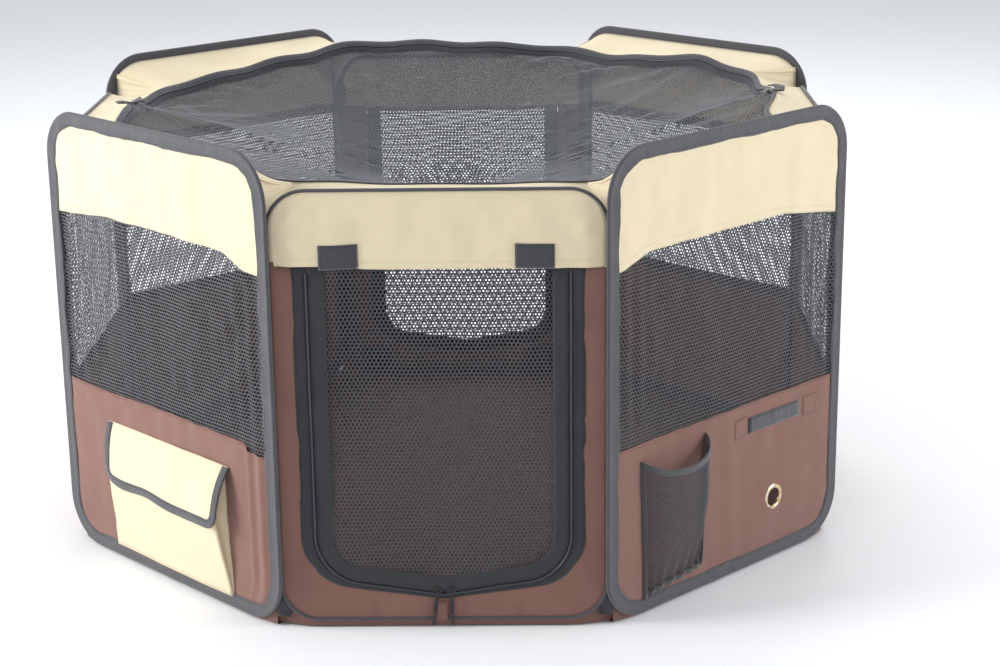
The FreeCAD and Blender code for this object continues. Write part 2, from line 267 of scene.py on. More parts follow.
# %% [markdown]
# Paint wears off metal where it is handled: along edges and in a few scratches. The
# pointiness of the surface finds the edges, and a noise breaks the line up.
# %% Group: worn edges
def build_wear(tree, given):
    shape = node(tree, "NewGeometry")
    edge = math_node(tree, "MULTIPLY", math_node(tree, "SUBTRACT", shape.outputs["Pointiness"], 0.5), 9.0)
    noise = node(tree, "TexNoise", Vector=given["Vector"], Scale=given["Scale"], Detail=4.0)
    broken = math_node(tree, "ADD", edge, math_node(tree, "SUBTRACT", noise.outputs[0], given["Cover"]))
    return {"Mask": between(tree, math_node(tree, "MULTIPLY", broken, 5.0))}


WEAR = group("worn_edges", [("Vector", "Vector", None), ("Scale", "Float", 400.0), ("Cover", "Float", 0.6)],
             [("Mask", "Float")], build_wear)
print("groups:", [g.name for g in bpy.data.node_groups])

# %% [markdown]
# A finish starts from the Principled shader. Cloth reads its pattern from the cut-out
# pattern on the table, in metres, so a thread has the same size on every piece.
# %% Cloth finishes
CUT = "Cut"


def start_finish(name, roughness, **settings):
    """A material with its shader and tree; even values go straight on the shader."""
    finish = bpy.data.materials.new(name)
    finish.use_nodes = True
    shader = finish.node_tree.nodes["Principled BSDF"]
    shader.inputs["Roughness"].default_value = roughness
    for key, value in settings.items():
        shader.inputs[key.replace("_", " ")].default_value = value
    return finish, finish.node_tree, shader


def bump(tree, shader, height, strength, distance, under=None):
    made = node(tree, "Bump", Strength=strength, Distance=distance, Height=height)
    if under is not None:
        tree.links.new(under.outputs[0], made.inputs["Normal"])
    tree.links.new(made.outputs[0], shader.inputs["Normal"])
    return made


def cloth_finish(name, colour, shade, thread, weave=0.35, crease=0.5, folds=9.0, roughness=0.86, sheen=0.15):
    """Woven cloth: threads, dye clouds, painted shade in the gaps between the threads, soft creases and a
    faint sheen.
    """
    finish, tree, shader = start_finish(name, roughness, Sheen_Weight=sheen, Sheen_Roughness=0.6)
    table = node(tree, "UVMap", {"uv_map": CUT}).outputs[0]
    threads = use(tree, WEAVE, Vector=table, Thread=thread)
    creases = use(tree, CREASE, Vector=table, Folds=folds)
    dyed = mix_colour(tree, creases["Tint"], (*shade, 1), (*colour, 1))
    # Painted shade: the gaps between the threads are darkened towards a dim copy of the shade colour.
    deep = mix_colour(tree, math_node(tree, "MULTIPLY", threads["Gap"], 0.35), dyed,
                      (*(0.45 * part for part in shade), 1))
    tree.links.new(deep, shader.inputs["Base Color"])
    large = bump(tree, shader, creases["Height"], crease, 0.006)
    bump(tree, shader, threads["Height"], weave, 0.00025, large)
    return finish


SAND = (0.80, 0.69, 0.47)
BROWN = (0.240, 0.116, 0.086)
SAND_CLOTH = cloth_finish("sand_polyester", SAND, (0.72, 0.61, 0.41), 0.00055, crease=0.45)
BROWN_CLOTH = cloth_finish("brown_polyester", BROWN, (0.190, 0.089, 0.067), 0.00055, crease=0.5)
FLOOR_CLOTH = cloth_finish("brown_floor_polyester", (0.19, 0.08, 0.058), (0.14, 0.058, 0.043), 0.0008,
                           crease=0.9, folds=5.0, roughness=0.6)
EDGE_TAPE = cloth_finish("edge_tape", (0.052, 0.052, 0.060), (0.036, 0.036, 0.042), 0.0009,
                         weave=0.6, crease=0.25, folds=40.0, roughness=0.7, sheen=0.28)
PIPING_TAPE = cloth_finish("piping_tape", (0.040, 0.041, 0.048), (0.026, 0.027, 0.032), 0.0008,
                           weave=0.5, crease=0.3, folds=60.0, roughness=0.5, sheen=0.3)
ZIP_TAPE = cloth_finish("zip_tape", (0.014, 0.017, 0.021), (0.009, 0.011, 0.014), 0.0011,
                        weave=0.9, crease=0.3, folds=40.0, roughness=0.75, sheen=0.2)
COVER_TAPE = cloth_finish("cover_zip_tape", (0.030, 0.032, 0.040), (0.018, 0.019, 0.025), 0.0011,
                          weave=0.9, crease=0.35, folds=40.0, roughness=0.7, sheen=0.3)
HOOK_PATCH = cloth_finish("hook_and_loop", (0.022, 0.024, 0.036), (0.010, 0.011, 0.018), 0.0014,
                          weave=1.0, crease=0.4, folds=50.0, roughness=0.95, sheen=0.5)


def yarn_finish(name, colour, shade, roughness, sheen):
    """Knitted yarn or sewing thread: too thin for a weave, so only its tint changes."""
    finish, tree, shader = start_finish(name, roughness, Sheen_Weight=sheen)
    table = node(tree, "UVMap", {"uv_map": CUT}).outputs[0]
    creases = use(tree, CREASE, Vector=table, Clouds=220.0)
    tree.links.new(mix_colour(tree, creases["Tint"], (*shade, 1), (*colour, 1)), shader.inputs["Base Color"])
    bump(tree, shader, creases["Tint"], 0.5, 0.0002)
    return finish


NET_YARN = yarn_finish("net_yarn", (0.044, 0.048, 0.060), (0.026, 0.029, 0.037), 0.55, 0.25)
# The cover's yarn is painted lighter and bluer than the window net's: painted sky light and sheen on the top
# of the pen.
SKYLIT_COVER_YARN = yarn_finish("cover_net_yarn_painted_skylight", (0.062, 0.069, 0.088), (0.040, 0.045, 0.058), 0.55, 0.3)
SAND_THREAD = yarn_finish("sand_thread", (0.74, 0.63, 0.42), (0.60, 0.50, 0.33), 0.6, 0.2)
BROWN_THREAD = yarn_finish("brown_thread", (0.17, 0.075, 0.055), (0.12, 0.05, 0.038), 0.6, 0.2)
DARK_THREAD = yarn_finish("dark_thread", (0.035, 0.036, 0.042), (0.02, 0.021, 0.025), 0.6, 0.2)
COIL = yarn_finish("zip_coil", (0.055, 0.058, 0.070), (0.022, 0.024, 0.030), 0.32, 0.0)

# %% [markdown]
# The few metal parts are the spring wire, the zip's sliders and pulls, and one eyelet.
# Their pattern comes from the object itself, because solid parts were never cut flat.
# %% Metal finishes
def metal_finish(name, colour, bare, roughness, scale, cover, metallic=1.0):
    finish, tree, shader = start_finish(name, roughness)
    where = node(tree, "TexCoord").outputs["Object"]
    worn = use(tree, WEAR, Vector=where, Scale=scale, Cover=cover)["Mask"]
    tree.links.new(mix_colour(tree, worn, (*colour, 1), (*bare, 1)), shader.inputs["Base Color"])
    if metallic < 1.0:
        shine = math_node(tree, "MULTIPLY", worn, 1.0 - metallic)
        tree.links.new(math_node(tree, "ADD", shine, metallic), shader.inputs["Metallic"])
    else:
        shader.inputs["Metallic"].default_value = 1.0
    scratches = node(tree, "TexNoise", Vector=where, Scale=scale * 3, Detail=3.0)
    rough = math_node(tree, "MULTIPLY", scratches.outputs[0], 0.25)
    tree.links.new(math_node(tree, "ADD", rough, roughness - 0.12), shader.inputs["Roughness"])
    bump(tree, shader, scratches.outputs[0], 0.25, 0.0002)
    return finish


SPRING_STEEL = metal_finish("spring_steel", (0.34, 0.34, 0.35), (0.55, 0.54, 0.53), 0.35, 300.0, 0.6)
ZIP_METAL = metal_finish("black_zinc", (0.020, 0.020, 0.022), (0.20, 0.19, 0.17), 0.36, 420.0, 0.70, 0.25)
NICKEL = metal_finish("nickel_on_brass", (0.80, 0.78, 0.74), (0.66, 0.50, 0.26), 0.2, 160.0, 0.62)
PAPER, paper_tree, paper_shader = start_finish("floor_paper", 0.9)
paper_noise = node(paper_tree, "TexNoise", Scale=1.3, Detail=3.0)
paper_tint = mix_colour(paper_tree, paper_noise.outputs[0], (0.89, 0.90, 0.91, 1), (0.93, 0.94, 0.95, 1))
paper_tree.links.new(paper_tint, paper_shader.inputs["Base Color"])
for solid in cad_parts.values():
    solid.data.materials.clear()
    solid.data.materials.append(SPRING_STEEL)
print("finishes:", len(bpy.data.materials))

# %% [markdown]
# All pieces come from a few makers: a piece from points and faces, a grid for cloth, and
# a sweep that carries a section along a path for tapes, cords and hems.
# %% Makers
def make_piece(name, points, faces, finish, body, stands_for=(), cut=None, smooth=True):
    """A mesh object from points and faces, riding on a body; cut is its flat pattern."""
    points = np.asarray(points, float).reshape(-1, 3)
    faces = faces.tolist() if isinstance(faces, np.ndarray) else faces
    mesh = bpy.data.meshes.new(name)
    mesh.from_pydata(points.tolist(), [], faces)
    if cut is None:
        cut = np.column_stack([points[:, 0] + points[:, 1], points[:, 2] + 0.3 * points[:, 1]])
    corners = np.empty(len(mesh.loops), int)
    mesh.loops.foreach_get("vertex_index", corners)
    layer = mesh.uv_layers.new(name=CUT)
    layer.data.foreach_set("uv", np.asarray(cut, np.float32)[corners].ravel())
    mesh.materials.append(finish)
    if smooth:
        mesh.shade_smooth()
    piece = bpy.data.objects.new(name, mesh)
    bpy.context.scene.collection.objects.link(piece)
    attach(piece, body)
    if stands_for:
        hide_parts(*stands_for)
    return piece


def grid_quads(rows, cols, wrap_rows=False, wrap_cols=False, first=0):
    """The quads of a grid of points that run row by row."""
    r, c = np.meshgrid(np.arange(rows if wrap_rows else rows - 1),
                       np.arange(cols if wrap_cols else cols - 1), indexing="ij")
    r, c = r.ravel(), c.ravel()
    r2, c2 = (r + 1) % rows, (c + 1) % cols
    return first + np.column_stack([r * cols + c, r * cols + c2, r2 * cols + c2, r2 * cols + c])


def run_along(path):
    """The distance from the first point of a line to each of its points."""
    return np.concatenate([[0], np.cumsum(np.linalg.norm(np.diff(path, axis=0), axis=1))])


def points_at(at, run, spots):
    """The line's points, or what belongs to them, at the distances in at."""
    return np.column_stack([np.interp(at, run, spots[:, k]) for k in range(spots.shape[1])])


def heading(path):
    """The unit direction of a line at each of its points."""
    along = np.gradient(path, axis=0)
    return along / np.linalg.norm(along, axis=1, keepdims=True)


def thicken(piece, thickness):
    """Gives a sheet its thickness, half to each side."""
    solid = piece.modifiers.new("thickness", "SOLIDIFY")
    solid.thickness = thickness
    solid.offset = 0.0
    return piece


def end_caps(count, around):
    """The two faces that close a tube of count rings."""
    return [tuple(range(around)), tuple(reversed(range((count - 1) * around, count * around)))]


def sweep(path, side, rise, profile, closed=True):
    """Carries a section of (side, rise) points along a path. Returns points, faces, cut."""
    path, side, rise = (np.asarray(part, float) for part in (path, side, rise))
    profile = np.broadcast_to(profile, (len(path),) + np.shape(profile)[-2:])
    rings = (path[:, None] + profile[..., :1] * side[:, None] + profile[..., 1:] * rise[:, None])
    count, around = profile.shape[0], profile.shape[1]
    faces = grid_quads(count, around, wrap_rows=closed, wrap_cols=True).tolist()
    if not closed:
        faces += end_caps(count, around)
    cut = np.column_stack([np.repeat(run_along(path), around), np.tile(run_along(profile[0]), count)])
    return rings.reshape(-1, 3), faces, cut


def merge(parts):
    """Joins several (points, faces, cut) into one."""
    points, faces, cuts, count = [], [], [], 0
    for spots, quads, cut in parts:
        points.append(spots)
        cuts.append(cut)
        faces += [tuple(int(i) + count for i in quad) for quad in quads]
        count += len(spots)
    return np.concatenate(points), faces, np.concatenate(cuts)


def disc_profile(radius, sides):
    """A round section."""
    turns = np.arange(sides) * 2 * math.pi / sides
    return np.column_stack([radius * np.cos(turns), radius * np.sin(turns)])

# %% [markdown]
# The walls aren't drum-tight. Each one is a cloth held all round by its wire loop, cut a
# little too large, so it hangs in soft folds. All eight are draped in one short cloth
# simulation, and every piece sewn to a wall later asks this field how far out it lies.
# %% Drape the eight walls
GIVE_COLS, GIVE_ROWS = 27, 35
GIVE_NET, GIVE_LOWER = 0.0060, 0.0022       # the most that the net and the lower cloth give
WIRE_REACH = 0.022                          # the wire keeps the cloth flat this far in
WALL_GAP = 0.3                              # between the walls while they are draped
WALL_SLACK = 0.006
DRAPE_FRAMES = 26
chance = np.random.default_rng(7)


def run_cloth(piece, frames, slack, mass=0.15, bending=0.4):
    """Lets a sheet hang from its held vertices, and returns where its points end up."""
    cloth = piece.modifiers.new("hang", "CLOTH")
    cloth.settings.quality = 5
    cloth.settings.mass = mass
    cloth.settings.tension_stiffness = 20
    cloth.settings.compression_stiffness = 12
    cloth.settings.shear_stiffness = 4
    cloth.settings.bending_stiffness = bending
    cloth.settings.shrink_min = -slack
    cloth.settings.vertex_group_mass = "held"
    cloth.collision_settings.use_collision = False
    cloth.point_cache.frame_end = frames
    scene = bpy.context.scene
    for number in range(1, frames + 1):
        scene.frame_set(number)
    shape = piece.evaluated_get(bpy.context.evaluated_depsgraph_get()).to_mesh()
    spots = np.empty(len(shape.vertices) * 3)
    shape.vertices.foreach_get("co", spots)
    bpy.data.objects.remove(piece)
    scene.frame_set(1)
    return spots.reshape(-1, 3)


def hung_sheet(name, points, faces, held):
    mesh = bpy.data.meshes.new(name)
    mesh.from_pydata(points.tolist(), [], faces.tolist())
    piece = bpy.data.objects.new(name, mesh)
    bpy.context.scene.collection.objects.link(piece)
    piece.vertex_groups.new(name="held").add(held.tolist(), 1.0, "REPLACE")
    return piece


def drape_walls():
    """The out-of-wall give of each wall, as rows (up) by columns (across)."""
    across, rise = np.meshgrid(np.linspace(-0.5, 0.5, GIVE_COLS), np.linspace(0, 1, GIVE_ROWS))
    points, faces, held = [], [], []
    for i, (half, foot, top, _) in enumerate(WALL_SIZE.values()):
        start = chance.normal(0, 0.0015, across.size)
        points.append(np.column_stack([across.ravel() * 2 * half, start + WALL_GAP * i,
                                       foot + rise.ravel() * (top - foot)]))
        count = i * across.size
        faces.append(grid_quads(GIVE_ROWS, GIVE_COLS, first=count))
        rim = (np.abs(across) > 0.499) | (rise < 0.001) | (rise > 0.999)
        held.append(np.flatnonzero(rim.ravel()) + count)
    sheet = hung_sheet("draping_walls", np.concatenate(points), np.concatenate(faces), np.concatenate(held))
    spots = run_cloth(sheet, DRAPE_FRAMES, WALL_SLACK)
    fields = {}
    for i, wall in enumerate(FACING):
        out = spots[i * across.size:(i + 1) * across.size, 1] - WALL_GAP * i
        fields[wall] = out.reshape(across.shape) / max(np.abs(out).max(), 1e-6) * GIVE_NET
    return fields


GIVE = drape_walls()


def give(wall, across, rise):
    """How far out of its plane the wall hangs, at points on its table."""
    half, foot, top, radius = WALL_SIZE[wall]
    c = np.clip((np.asarray(across) / (2 * half) + 0.5) * (GIVE_COLS - 1), 0, GIVE_COLS - 1.001)
    r = np.clip((np.asarray(rise) - foot) / (top - foot) * (GIVE_ROWS - 1), 0, GIVE_ROWS - 1.001)
    c0, r0 = c.astype(int), r.astype(int)
    cf, rf = c - c0, r - r0
    field = GIVE[wall]
    value = ((field[r0, c0] * (1 - cf) + field[r0, c0 + 1] * cf) * (1 - rf)
             + (field[r0 + 1, c0] * (1 - cf) + field[r0 + 1, c0 + 1] * cf) * rf)
    lower = np.clip((0.26 - np.asarray(rise)) / 0.05, 0, 1)
    beside, beyond = half - np.abs(across), np.minimum(top - rise, rise - foot)
    corner = radius - np.hypot(np.maximum(radius - beside, 0), np.maximum(radius - beyond, 0))
    to_wire = np.minimum(np.minimum(beside, beyond), corner)
    return value * (1 - lower * (1 - GIVE_LOWER / GIVE_NET)) * np.clip(to_wire / WIRE_REACH, 0, 1)


def on_wall(wall, across, out, rise):
    """Points that lie on the wall's hanging cloth, out metres off it."""
    across, out, rise = np.broadcast_arrays(across, out, rise)
    across, out, rise = across.ravel(), out.ravel(), rise.ravel()
    return place(wall, np.column_stack([across, out + give(wall, across, rise), rise]))


print("give of the walls, mm:", {w: round(float(np.abs(f).max()) * 1000, 1) for w, f in GIVE.items()})

# %% [markdown]
# A wall's outline is a rounded rectangle, and its cloth ends inside the hem of the wire.
# Cloth panels are grids whose rows follow that outline, so no edge is ever jagged.
# %% Cloth panels of the walls
def half_width(wall, rise, inset):
    """Half the wall's width at a height, drawn in by inset, with its rounded corners."""
    half, foot, top, radius = WALL_SIZE[wall]
    wide, bend = half - inset, radius - inset
    low, high = foot + radius, top - radius
    over = np.maximum(np.maximum(low - rise, rise - high), 0)
    return wide - bend + np.sqrt(np.maximum(bend ** 2 - np.minimum(over, bend) ** 2, 0))


def line_through(shape):
    """A smooth height line through a few (across, up) points of a hem."""
    spots = np.array(shape)

    def line(across):
        fine = np.linspace(spots[0, 0], spots[-1, 0], 200)
        plain = np.interp(fine, spots[:, 0], spots[:, 1])
        window = np.hanning(11) / np.hanning(11).sum()
        soft = np.convolve(np.pad(plain, 5, mode="edge"), window, mode="valid")
        return np.interp(across, fine, soft)
    return line


CLOTH_THICK = 0.0007
PLEAT_PITCH = 0.027


def panel(name, wall, low, high, finish, stands_for, out, inset, folds, rows=36, cols=61, hole=None,
          pleat_from=None):
    """A cloth panel between two height lines; each line is a number or a function."""
    s, t = np.meshgrid(np.linspace(-1, 1, cols), np.linspace(0, 1, rows))
    half = WALL_SIZE[wall][0] - inset
    low_at = low(s * half) if callable(low) else np.full_like(s, low)
    high_at = high(s * half) if callable(high) else np.full_like(s, high)
    rise = low_at + (high_at - low_at) * t
    across = s * half_width(wall, rise, inset)
    wave = 0.6 * np.sin(s * 21 + 1.3) + 0.4 * np.sin(s * 37 + rise * 9)
    wave = folds * wave * np.sin(math.pi * (s + 1) / 2)
    if pleat_from is not None:
        past = s * half - pleat_from
        soft = np.clip((rise - low_at) / 0.05, 0, 1) * np.clip(past / 0.004, 0, 1)
        wave = wave + 0.0020 * soft * (1.1 + np.sin(past * 2 * math.pi / PLEAT_PITCH + 1.2))
    foot, top = WALL_SIZE[wall][1:3]
    to_edge = np.minimum(half_width(wall, rise, 0.0) - np.abs(across), np.minimum(top - rise, rise - foot))
    free = np.clip((to_edge - 0.012) / 0.016, 0, 1)
    points = on_wall(wall, across, (out + wave) * free, rise)
    cut = np.column_stack([(s * half).ravel(), rise.ravel()])
    quads = grid_quads(rows, cols)
    if hole is not None:
        middle = np.stack([across.ravel()[quads].mean(1), rise.ravel()[quads].mean(1)])
        quads = quads[np.hypot(middle[0] - hole[0], middle[1] - hole[1]) > hole[2]]
    piece = make_piece(name, points, quads, finish, wall + "_wall", stands_for, cut)
    thicken(piece, CLOTH_THICK)
    return piece


BAND_FOOT = {
    "front_left": ((-0.23, 0.470), (-0.16, 0.475), (-0.10, 0.480), (0.05, 0.479), (0.15, 0.477),
                   (0.185, 0.460), (0.23, 0.456)),
    "front_right": ((-0.23, 0.455), (-0.205, 0.459), (-0.16, 0.474), (-0.10, 0.476), (0.10, 0.477),
                    (0.23, 0.458))}
LOWER_TOP = {
    "front_left": ((-0.23, 0.241), (-0.11, 0.236), (0.02, 0.239), (0.14, 0.236), (0.176, 0.236),
                   (0.178, 0.2275), (0.23, 0.2265)),
    "front_right": ((-0.23, 0.230), (-0.06, 0.232), (0.23, 0.235))}
PLAIN_BAND = ((-0.23, 0.464), (-0.1, 0.468), (0.08, 0.465), (0.23, 0.462))
PLAIN_LOWER = ((-0.23, 0.236), (0.0, 0.233), (0.23, 0.236))
DOOR_BAND_FOOT = wall_box("front_band", "front")[0][2]
DOOR_BAND = ((-0.20, DOOR_BAND_FOOT + 0.0045), (-0.14, DOOR_BAND_FOOT + 0.0040), (-0.09, DOOR_BAND_FOOT),
             (0.20, DOOR_BAND_FOOT))
OVERLAP = 0.014             # how far the net runs behind the cloth that it is sewn to
PLEAT_FROM = 0.176          # the front left wall's lower cloth is pleated past this place


def band_shape(wall):
    """The (across, up) points of the band's lower edge."""
    return DOOR_BAND if wall in DOOR_WALLS else BAND_FOOT.get(wall, PLAIN_BAND)


def lower_shape(wall):
    """The (across, up) points of the lower panel's top edge."""
    return LOWER_TOP.get(wall, PLAIN_LOWER)


low, high = wall_box("eyelet", "front_right")
EYELET_ACROSS, EYELET_RISE = (low[0] + high[0]) / 2, (low[2] + high[2]) / 2
EYELET_HOLE = (EYELET_ACROSS, EYELET_RISE, 0.0150)

for wall in FACING:
    foot, top = WALL_SIZE[wall][1:3]
    hem = 0.006 if is_bound(wall) else 0.003
    hole = EYELET_HOLE if wall == "front_right" else None
    if wall not in DOOR_WALLS:
        panel(wall + "_lower_cloth", wall, foot + hem, line_through(lower_shape(wall)), BROWN_CLOTH,
              [wall + "_lower_panel"], 0.0010, hem, 0.0008, rows=60, cols=141, hole=hole,
              pleat_from=PLEAT_FROM if wall == "front_left" else None)
    panel(wall + "_band_cloth", wall, line_through(band_shape(wall)), top - hem, SAND_CLOTH,
          [wall + "_band"], 0.0030 if wall in DOOR_WALLS else 0.0014, hem, 0.0007)
print("bands and lower panels:", 2 * len(FACING) - len(DOOR_WALLS))

# %% [markdown]
# The windows are warp-knitted net with six-sided holes. It could be painted on a plane
# with holes in the paint, but real strands catch the light and let you look through at an
# angle. Each cell here is six flat strands between an outer and an inner hexagon.
# %% Knitted net
CELL_WIDE, CELL_HIGH = 0.00515, 0.0048
STRAND_SHARE = 0.63         # a hole's size, against its cell
STRAND_CROWN = 0.0005       # how far the strands' inner edges lie behind their outer ones
HEXAGON = ((0, 2), (1, 1), (1, -1), (0, -2), (-1, -1), (-1, 1))     # half cells, thirds of a row


def knit(low, high, keep, share=STRAND_SHARE):
    """Points (n, 2), quads and the inner points' mask of a net that fills keep(x, y)."""
    cols = np.arange(math.floor(low[0] / CELL_WIDE) - 1, math.ceil(high[0] / CELL_WIDE) + 2)
    rows = np.arange(math.floor(low[1] / CELL_HIGH) - 1, math.ceil(high[1] / CELL_HIGH) + 2)
    row, col = (part.ravel() for part in np.meshgrid(rows, cols, indexing="ij"))
    halves = 2 * col + row % 2
    x, y = halves * CELL_WIDE / 2, row * CELL_HIGH
    inside = keep(x, y)
    halves, row, x, y = halves[inside], row[inside], x[inside], y[inside]
    hexagon = np.array(HEXAGON)
    keys = np.stack([halves[:, None] + hexagon[:, 0], 3 * row[:, None] + hexagon[:, 1]], axis=-1)
    shared, index = np.unique(keys.reshape(-1, 2), axis=0, return_inverse=True)
    outer = shared * (CELL_WIDE / 2, CELL_HIGH / 3)
    corner = hexagon * (CELL_WIDE / 2, CELL_HIGH / 3) * share
    inner = (np.stack([x, y], axis=-1)[:, None] + corner).reshape(-1, 2)
    outside = index.reshape(-1, 6)
    within = np.arange(len(inner)).reshape(-1, 6) + len(outer)
    quads = np.stack([outside, np.roll(outside, -1, 1), np.roll(within, -1, 1), within], axis=-1)
    is_inner = np.repeat([False, True], [len(outer), len(inner)])
    return np.concatenate([outer, inner]), quads.reshape(-1, 4), is_inner


def net_piece(name, points, quads, finish, body, stands_for, flat):
    return make_piece(name, points, quads, finish, body, [stands_for], cut=flat, smooth=False)


def window_net(wall):
    """The net between a wall's band and lower panel, with soft pleats near its sides."""
    low = min(z for _, z in lower_shape(wall)) - OVERLAP
    high = max(z for _, z in band_shape(wall)) + OVERLAP
    half = WALL_SIZE[wall][0] - 0.008
    flat, quads, is_inner = knit((-half, low), (half, high),
                                 lambda x, y: (abs(x) < half) & (y > low) & (y < high))
    across, rise = flat[:, 0], flat[:, 1]
    middle = np.sin(math.pi * (rise - low) / (high - low)).clip(0, 1)
    pleat = 0.0022 * np.sin(across * 260 + 6 * rise) * np.clip(np.abs(across) / half - 0.55, 0, 1) * 2.2
    out = pleat * middle - STRAND_CROWN * is_inner
    net = net_piece(wall + "_net", on_wall(wall, across, out, rise), quads, NET_YARN, wall + "_wall",
                    wall + "_window_net", flat)
    return len(quads) // 6


cells = [window_net(wall) for wall in FACING if wall not in DOOR_WALLS]
print("cells in the window nets:", cells)

# %% [markdown]
# The wire loop hides in the edge. On the four diagonal walls a wide tape is folded over
# the edge and stitched down. On the other four the wire is piped into a thin cord. Both
# are a section carried round the outline, a little uneven where the tape was eased in.
# %% Bound and piped edges
EDGE_STEP = 0.012           # between a section and the next, along the straight edges


def outline_path(wall, inset):
    """Points (across, up) round the wall's edge from the bottom middle, and the way in."""
    half, foot, top, radius = WALL_SIZE[wall]
    wide, low, high, bow = half - inset, foot + inset, top - inset, radius - inset
    turns = np.linspace(0, math.pi / 2, 17)
    spots, inward = [], []

    def straight(start, stop, way):
        count = max(int(math.dist(start, stop) / EDGE_STEP), 2)
        for t in np.arange(1, count) / count:
            spots.append((start[0] + (stop[0] - start[0]) * t, start[1] + (stop[1] - start[1]) * t))
            inward.append(way)

    corners = (((wide - bow), low + bow, -math.pi / 2), (wide - bow, high - bow, 0.0),
               (-(wide - bow), high - bow, math.pi / 2), (-(wide - bow), low + bow, math.pi))
    ways = ((0, 1), (-1, 0), (0, -1), (1, 0), (0, 1))
    here = (0.0, low)
    spots.append(here)
    inward.append(ways[0])
    for number, (x, z, start) in enumerate(corners):
        arc = [(x + bow * math.cos(start + turn), z + bow * math.sin(start + turn)) for turn in turns]
        straight(here, arc[0], ways[number])
        spots += arc
        inward += [(-math.cos(start + turn), -math.sin(start + turn)) for turn in turns]
        here = arc[-1]
    straight(here, (0.0, low), ways[4])
    return np.array(spots), np.array(inward)


def table_sweep(wall, path, side, rise, profile, closed=True):
    """Sweeps a section on the wall's table, then hangs it on the wall's cloth."""
    side, rise = np.broadcast_to(side, path.shape), np.broadcast_to(rise, path.shape)
    points, faces, cut = sweep(path, side, rise, profile, closed=closed)
    return on_wall(wall, *points.T), faces, cut


def edge_sweep(wall, spots, inward, profile, closed=True):
    """Carries a section round the wall's edge; its side is inward and its rise is out."""
    path = np.column_stack([spots[:, 0], np.zeros(len(spots)), spots[:, 1]])
    side = np.column_stack([inward[:, 0], np.zeros(len(spots)), inward[:, 1]])
    return table_sweep(wall, path, side, (0.0, 1.0, 0.0), profile, closed)


def ripple(count, size, waves, phase):
    """A gentle random-looking wave that closes on itself."""
    turn = np.linspace(0, 2 * math.pi, count, endpoint=False)
    return size * (0.5 * np.sin(waves * turn + phase) + 0.3 * np.sin((2 * waves + 3) * turn + 2 * phase)
                   + 0.2 * np.sin((5 * waves + 1) * turn + 3 * phase))


TAPE_WIDTH = 0.020
BEAD = 0.0026
JOINT_ACROSS = {"front_left": 0.0, "front_right": -0.025, "back_left": 0.03, "back_right": -0.02}
JOINT_HALF = 0.011          # half the length of the lap where the tape's ends meet
TAPE_SECTION = np.array([(0.0001, 0.0), (0.0008, 0.0018), (0.0028, BEAD), (0.0052, 0.0021), (0.0085, 0.0017),
                         (0.014, 0.0018), (0.0192, 0.0021), (TAPE_WIDTH, 0.0017)])
TAPE_SECTION = np.concatenate([TAPE_SECTION, TAPE_SECTION[:0:-1] * (1, -1)])


def bound_edge(wall, number):
    spots, inward = outline_path(wall, 0.0)
    count = len(spots)
    profile = np.repeat(TAPE_SECTION[None], count, axis=0)
    inner = np.clip((profile[..., 0] - 0.010) / 0.010, 0, 1)
    profile[..., 0] += inner * ripple(count, 0.0013, 17, number)[:, None]
    profile[..., 1] += inner * ripple(count, 0.0009, 23, number + 1)[:, None]
    lap = np.where(spots[:, 1] < 0.05, spots[:, 0], np.inf)
    near = np.exp(-((lap - JOINT_ACROSS[wall]) / 0.016) ** 4)
    profile[..., 1] *= (1 + 0.25 * near)[:, None]
    points, faces, cut = edge_sweep(wall, spots, inward, profile)
    return make_piece(wall + "_edge_tape", points, faces, EDGE_TAPE, wall + "_wall",
                      [wall + "_binding"], cut)


PIPING_RADIUS = 0.0027


def piped_edge(wall, number):
    spots, inward = outline_path(wall, PIPING_RADIUS)
    cord = disc_profile(PIPING_RADIUS, 12)[10:1:-1]
    flange = np.array([(0.0022, -0.0008), (0.0075, -0.0009), (0.0075, -0.0017), (0.0022, -0.0018)])
    profile = np.repeat(np.concatenate([flange, cord])[None], len(spots), axis=0)
    profile[..., 1] += ripple(len(spots), 0.0002, 31, number)[:, None]
    points, faces, cut = edge_sweep(wall, spots, inward, profile)
    return make_piece(wall + "_edge_piping", points, faces, PIPING_TAPE, wall + "_wall",
                      [wall + "_piping"], cut)


for number, wall in enumerate(FACING):
    (bound_edge if is_bound(wall) else piped_edge)(wall, number)


def tape_joint(wall):
    """Where the tape's two ends meet: the upper end is folded under and laps the lower."""
    s = np.linspace(-1, 1, 9)
    spots = np.column_stack([JOINT_ACROSS[wall] + s * JOINT_HALF, np.full(9, WALL_SIZE[wall][1])])
    inward = np.tile((0.0, 1.0), (9, 1))
    bulge = 1.18 - 0.10 * s ** 4
    profile = TAPE_SECTION[None] * np.stack([np.full(9, 1.03), bulge], axis=-1)[:, None]
    profile[..., 0] -= 0.0003
    points, faces, cut = edge_sweep(wall, spots, inward, profile, closed=False)
    return make_piece(wall + "_tape_joint", points, faces, EDGE_TAPE, wall + "_wall", cut=cut)


for wall in BOUND_WALLS:
    tape_joint(wall)
print("edges:", len(FACING), "tape joints:", len(BOUND_WALLS))

# %% [markdown]
# Stitches are what make cloth look sewn. Each one is a tiny spindle of thread that lies on
# the cloth. They follow any line of points at an even pitch.
# %% Stitch lines
STITCH_LONG, STITCH_PITCH, STITCH_THICK = 0.0026, 0.0036, 0.00042


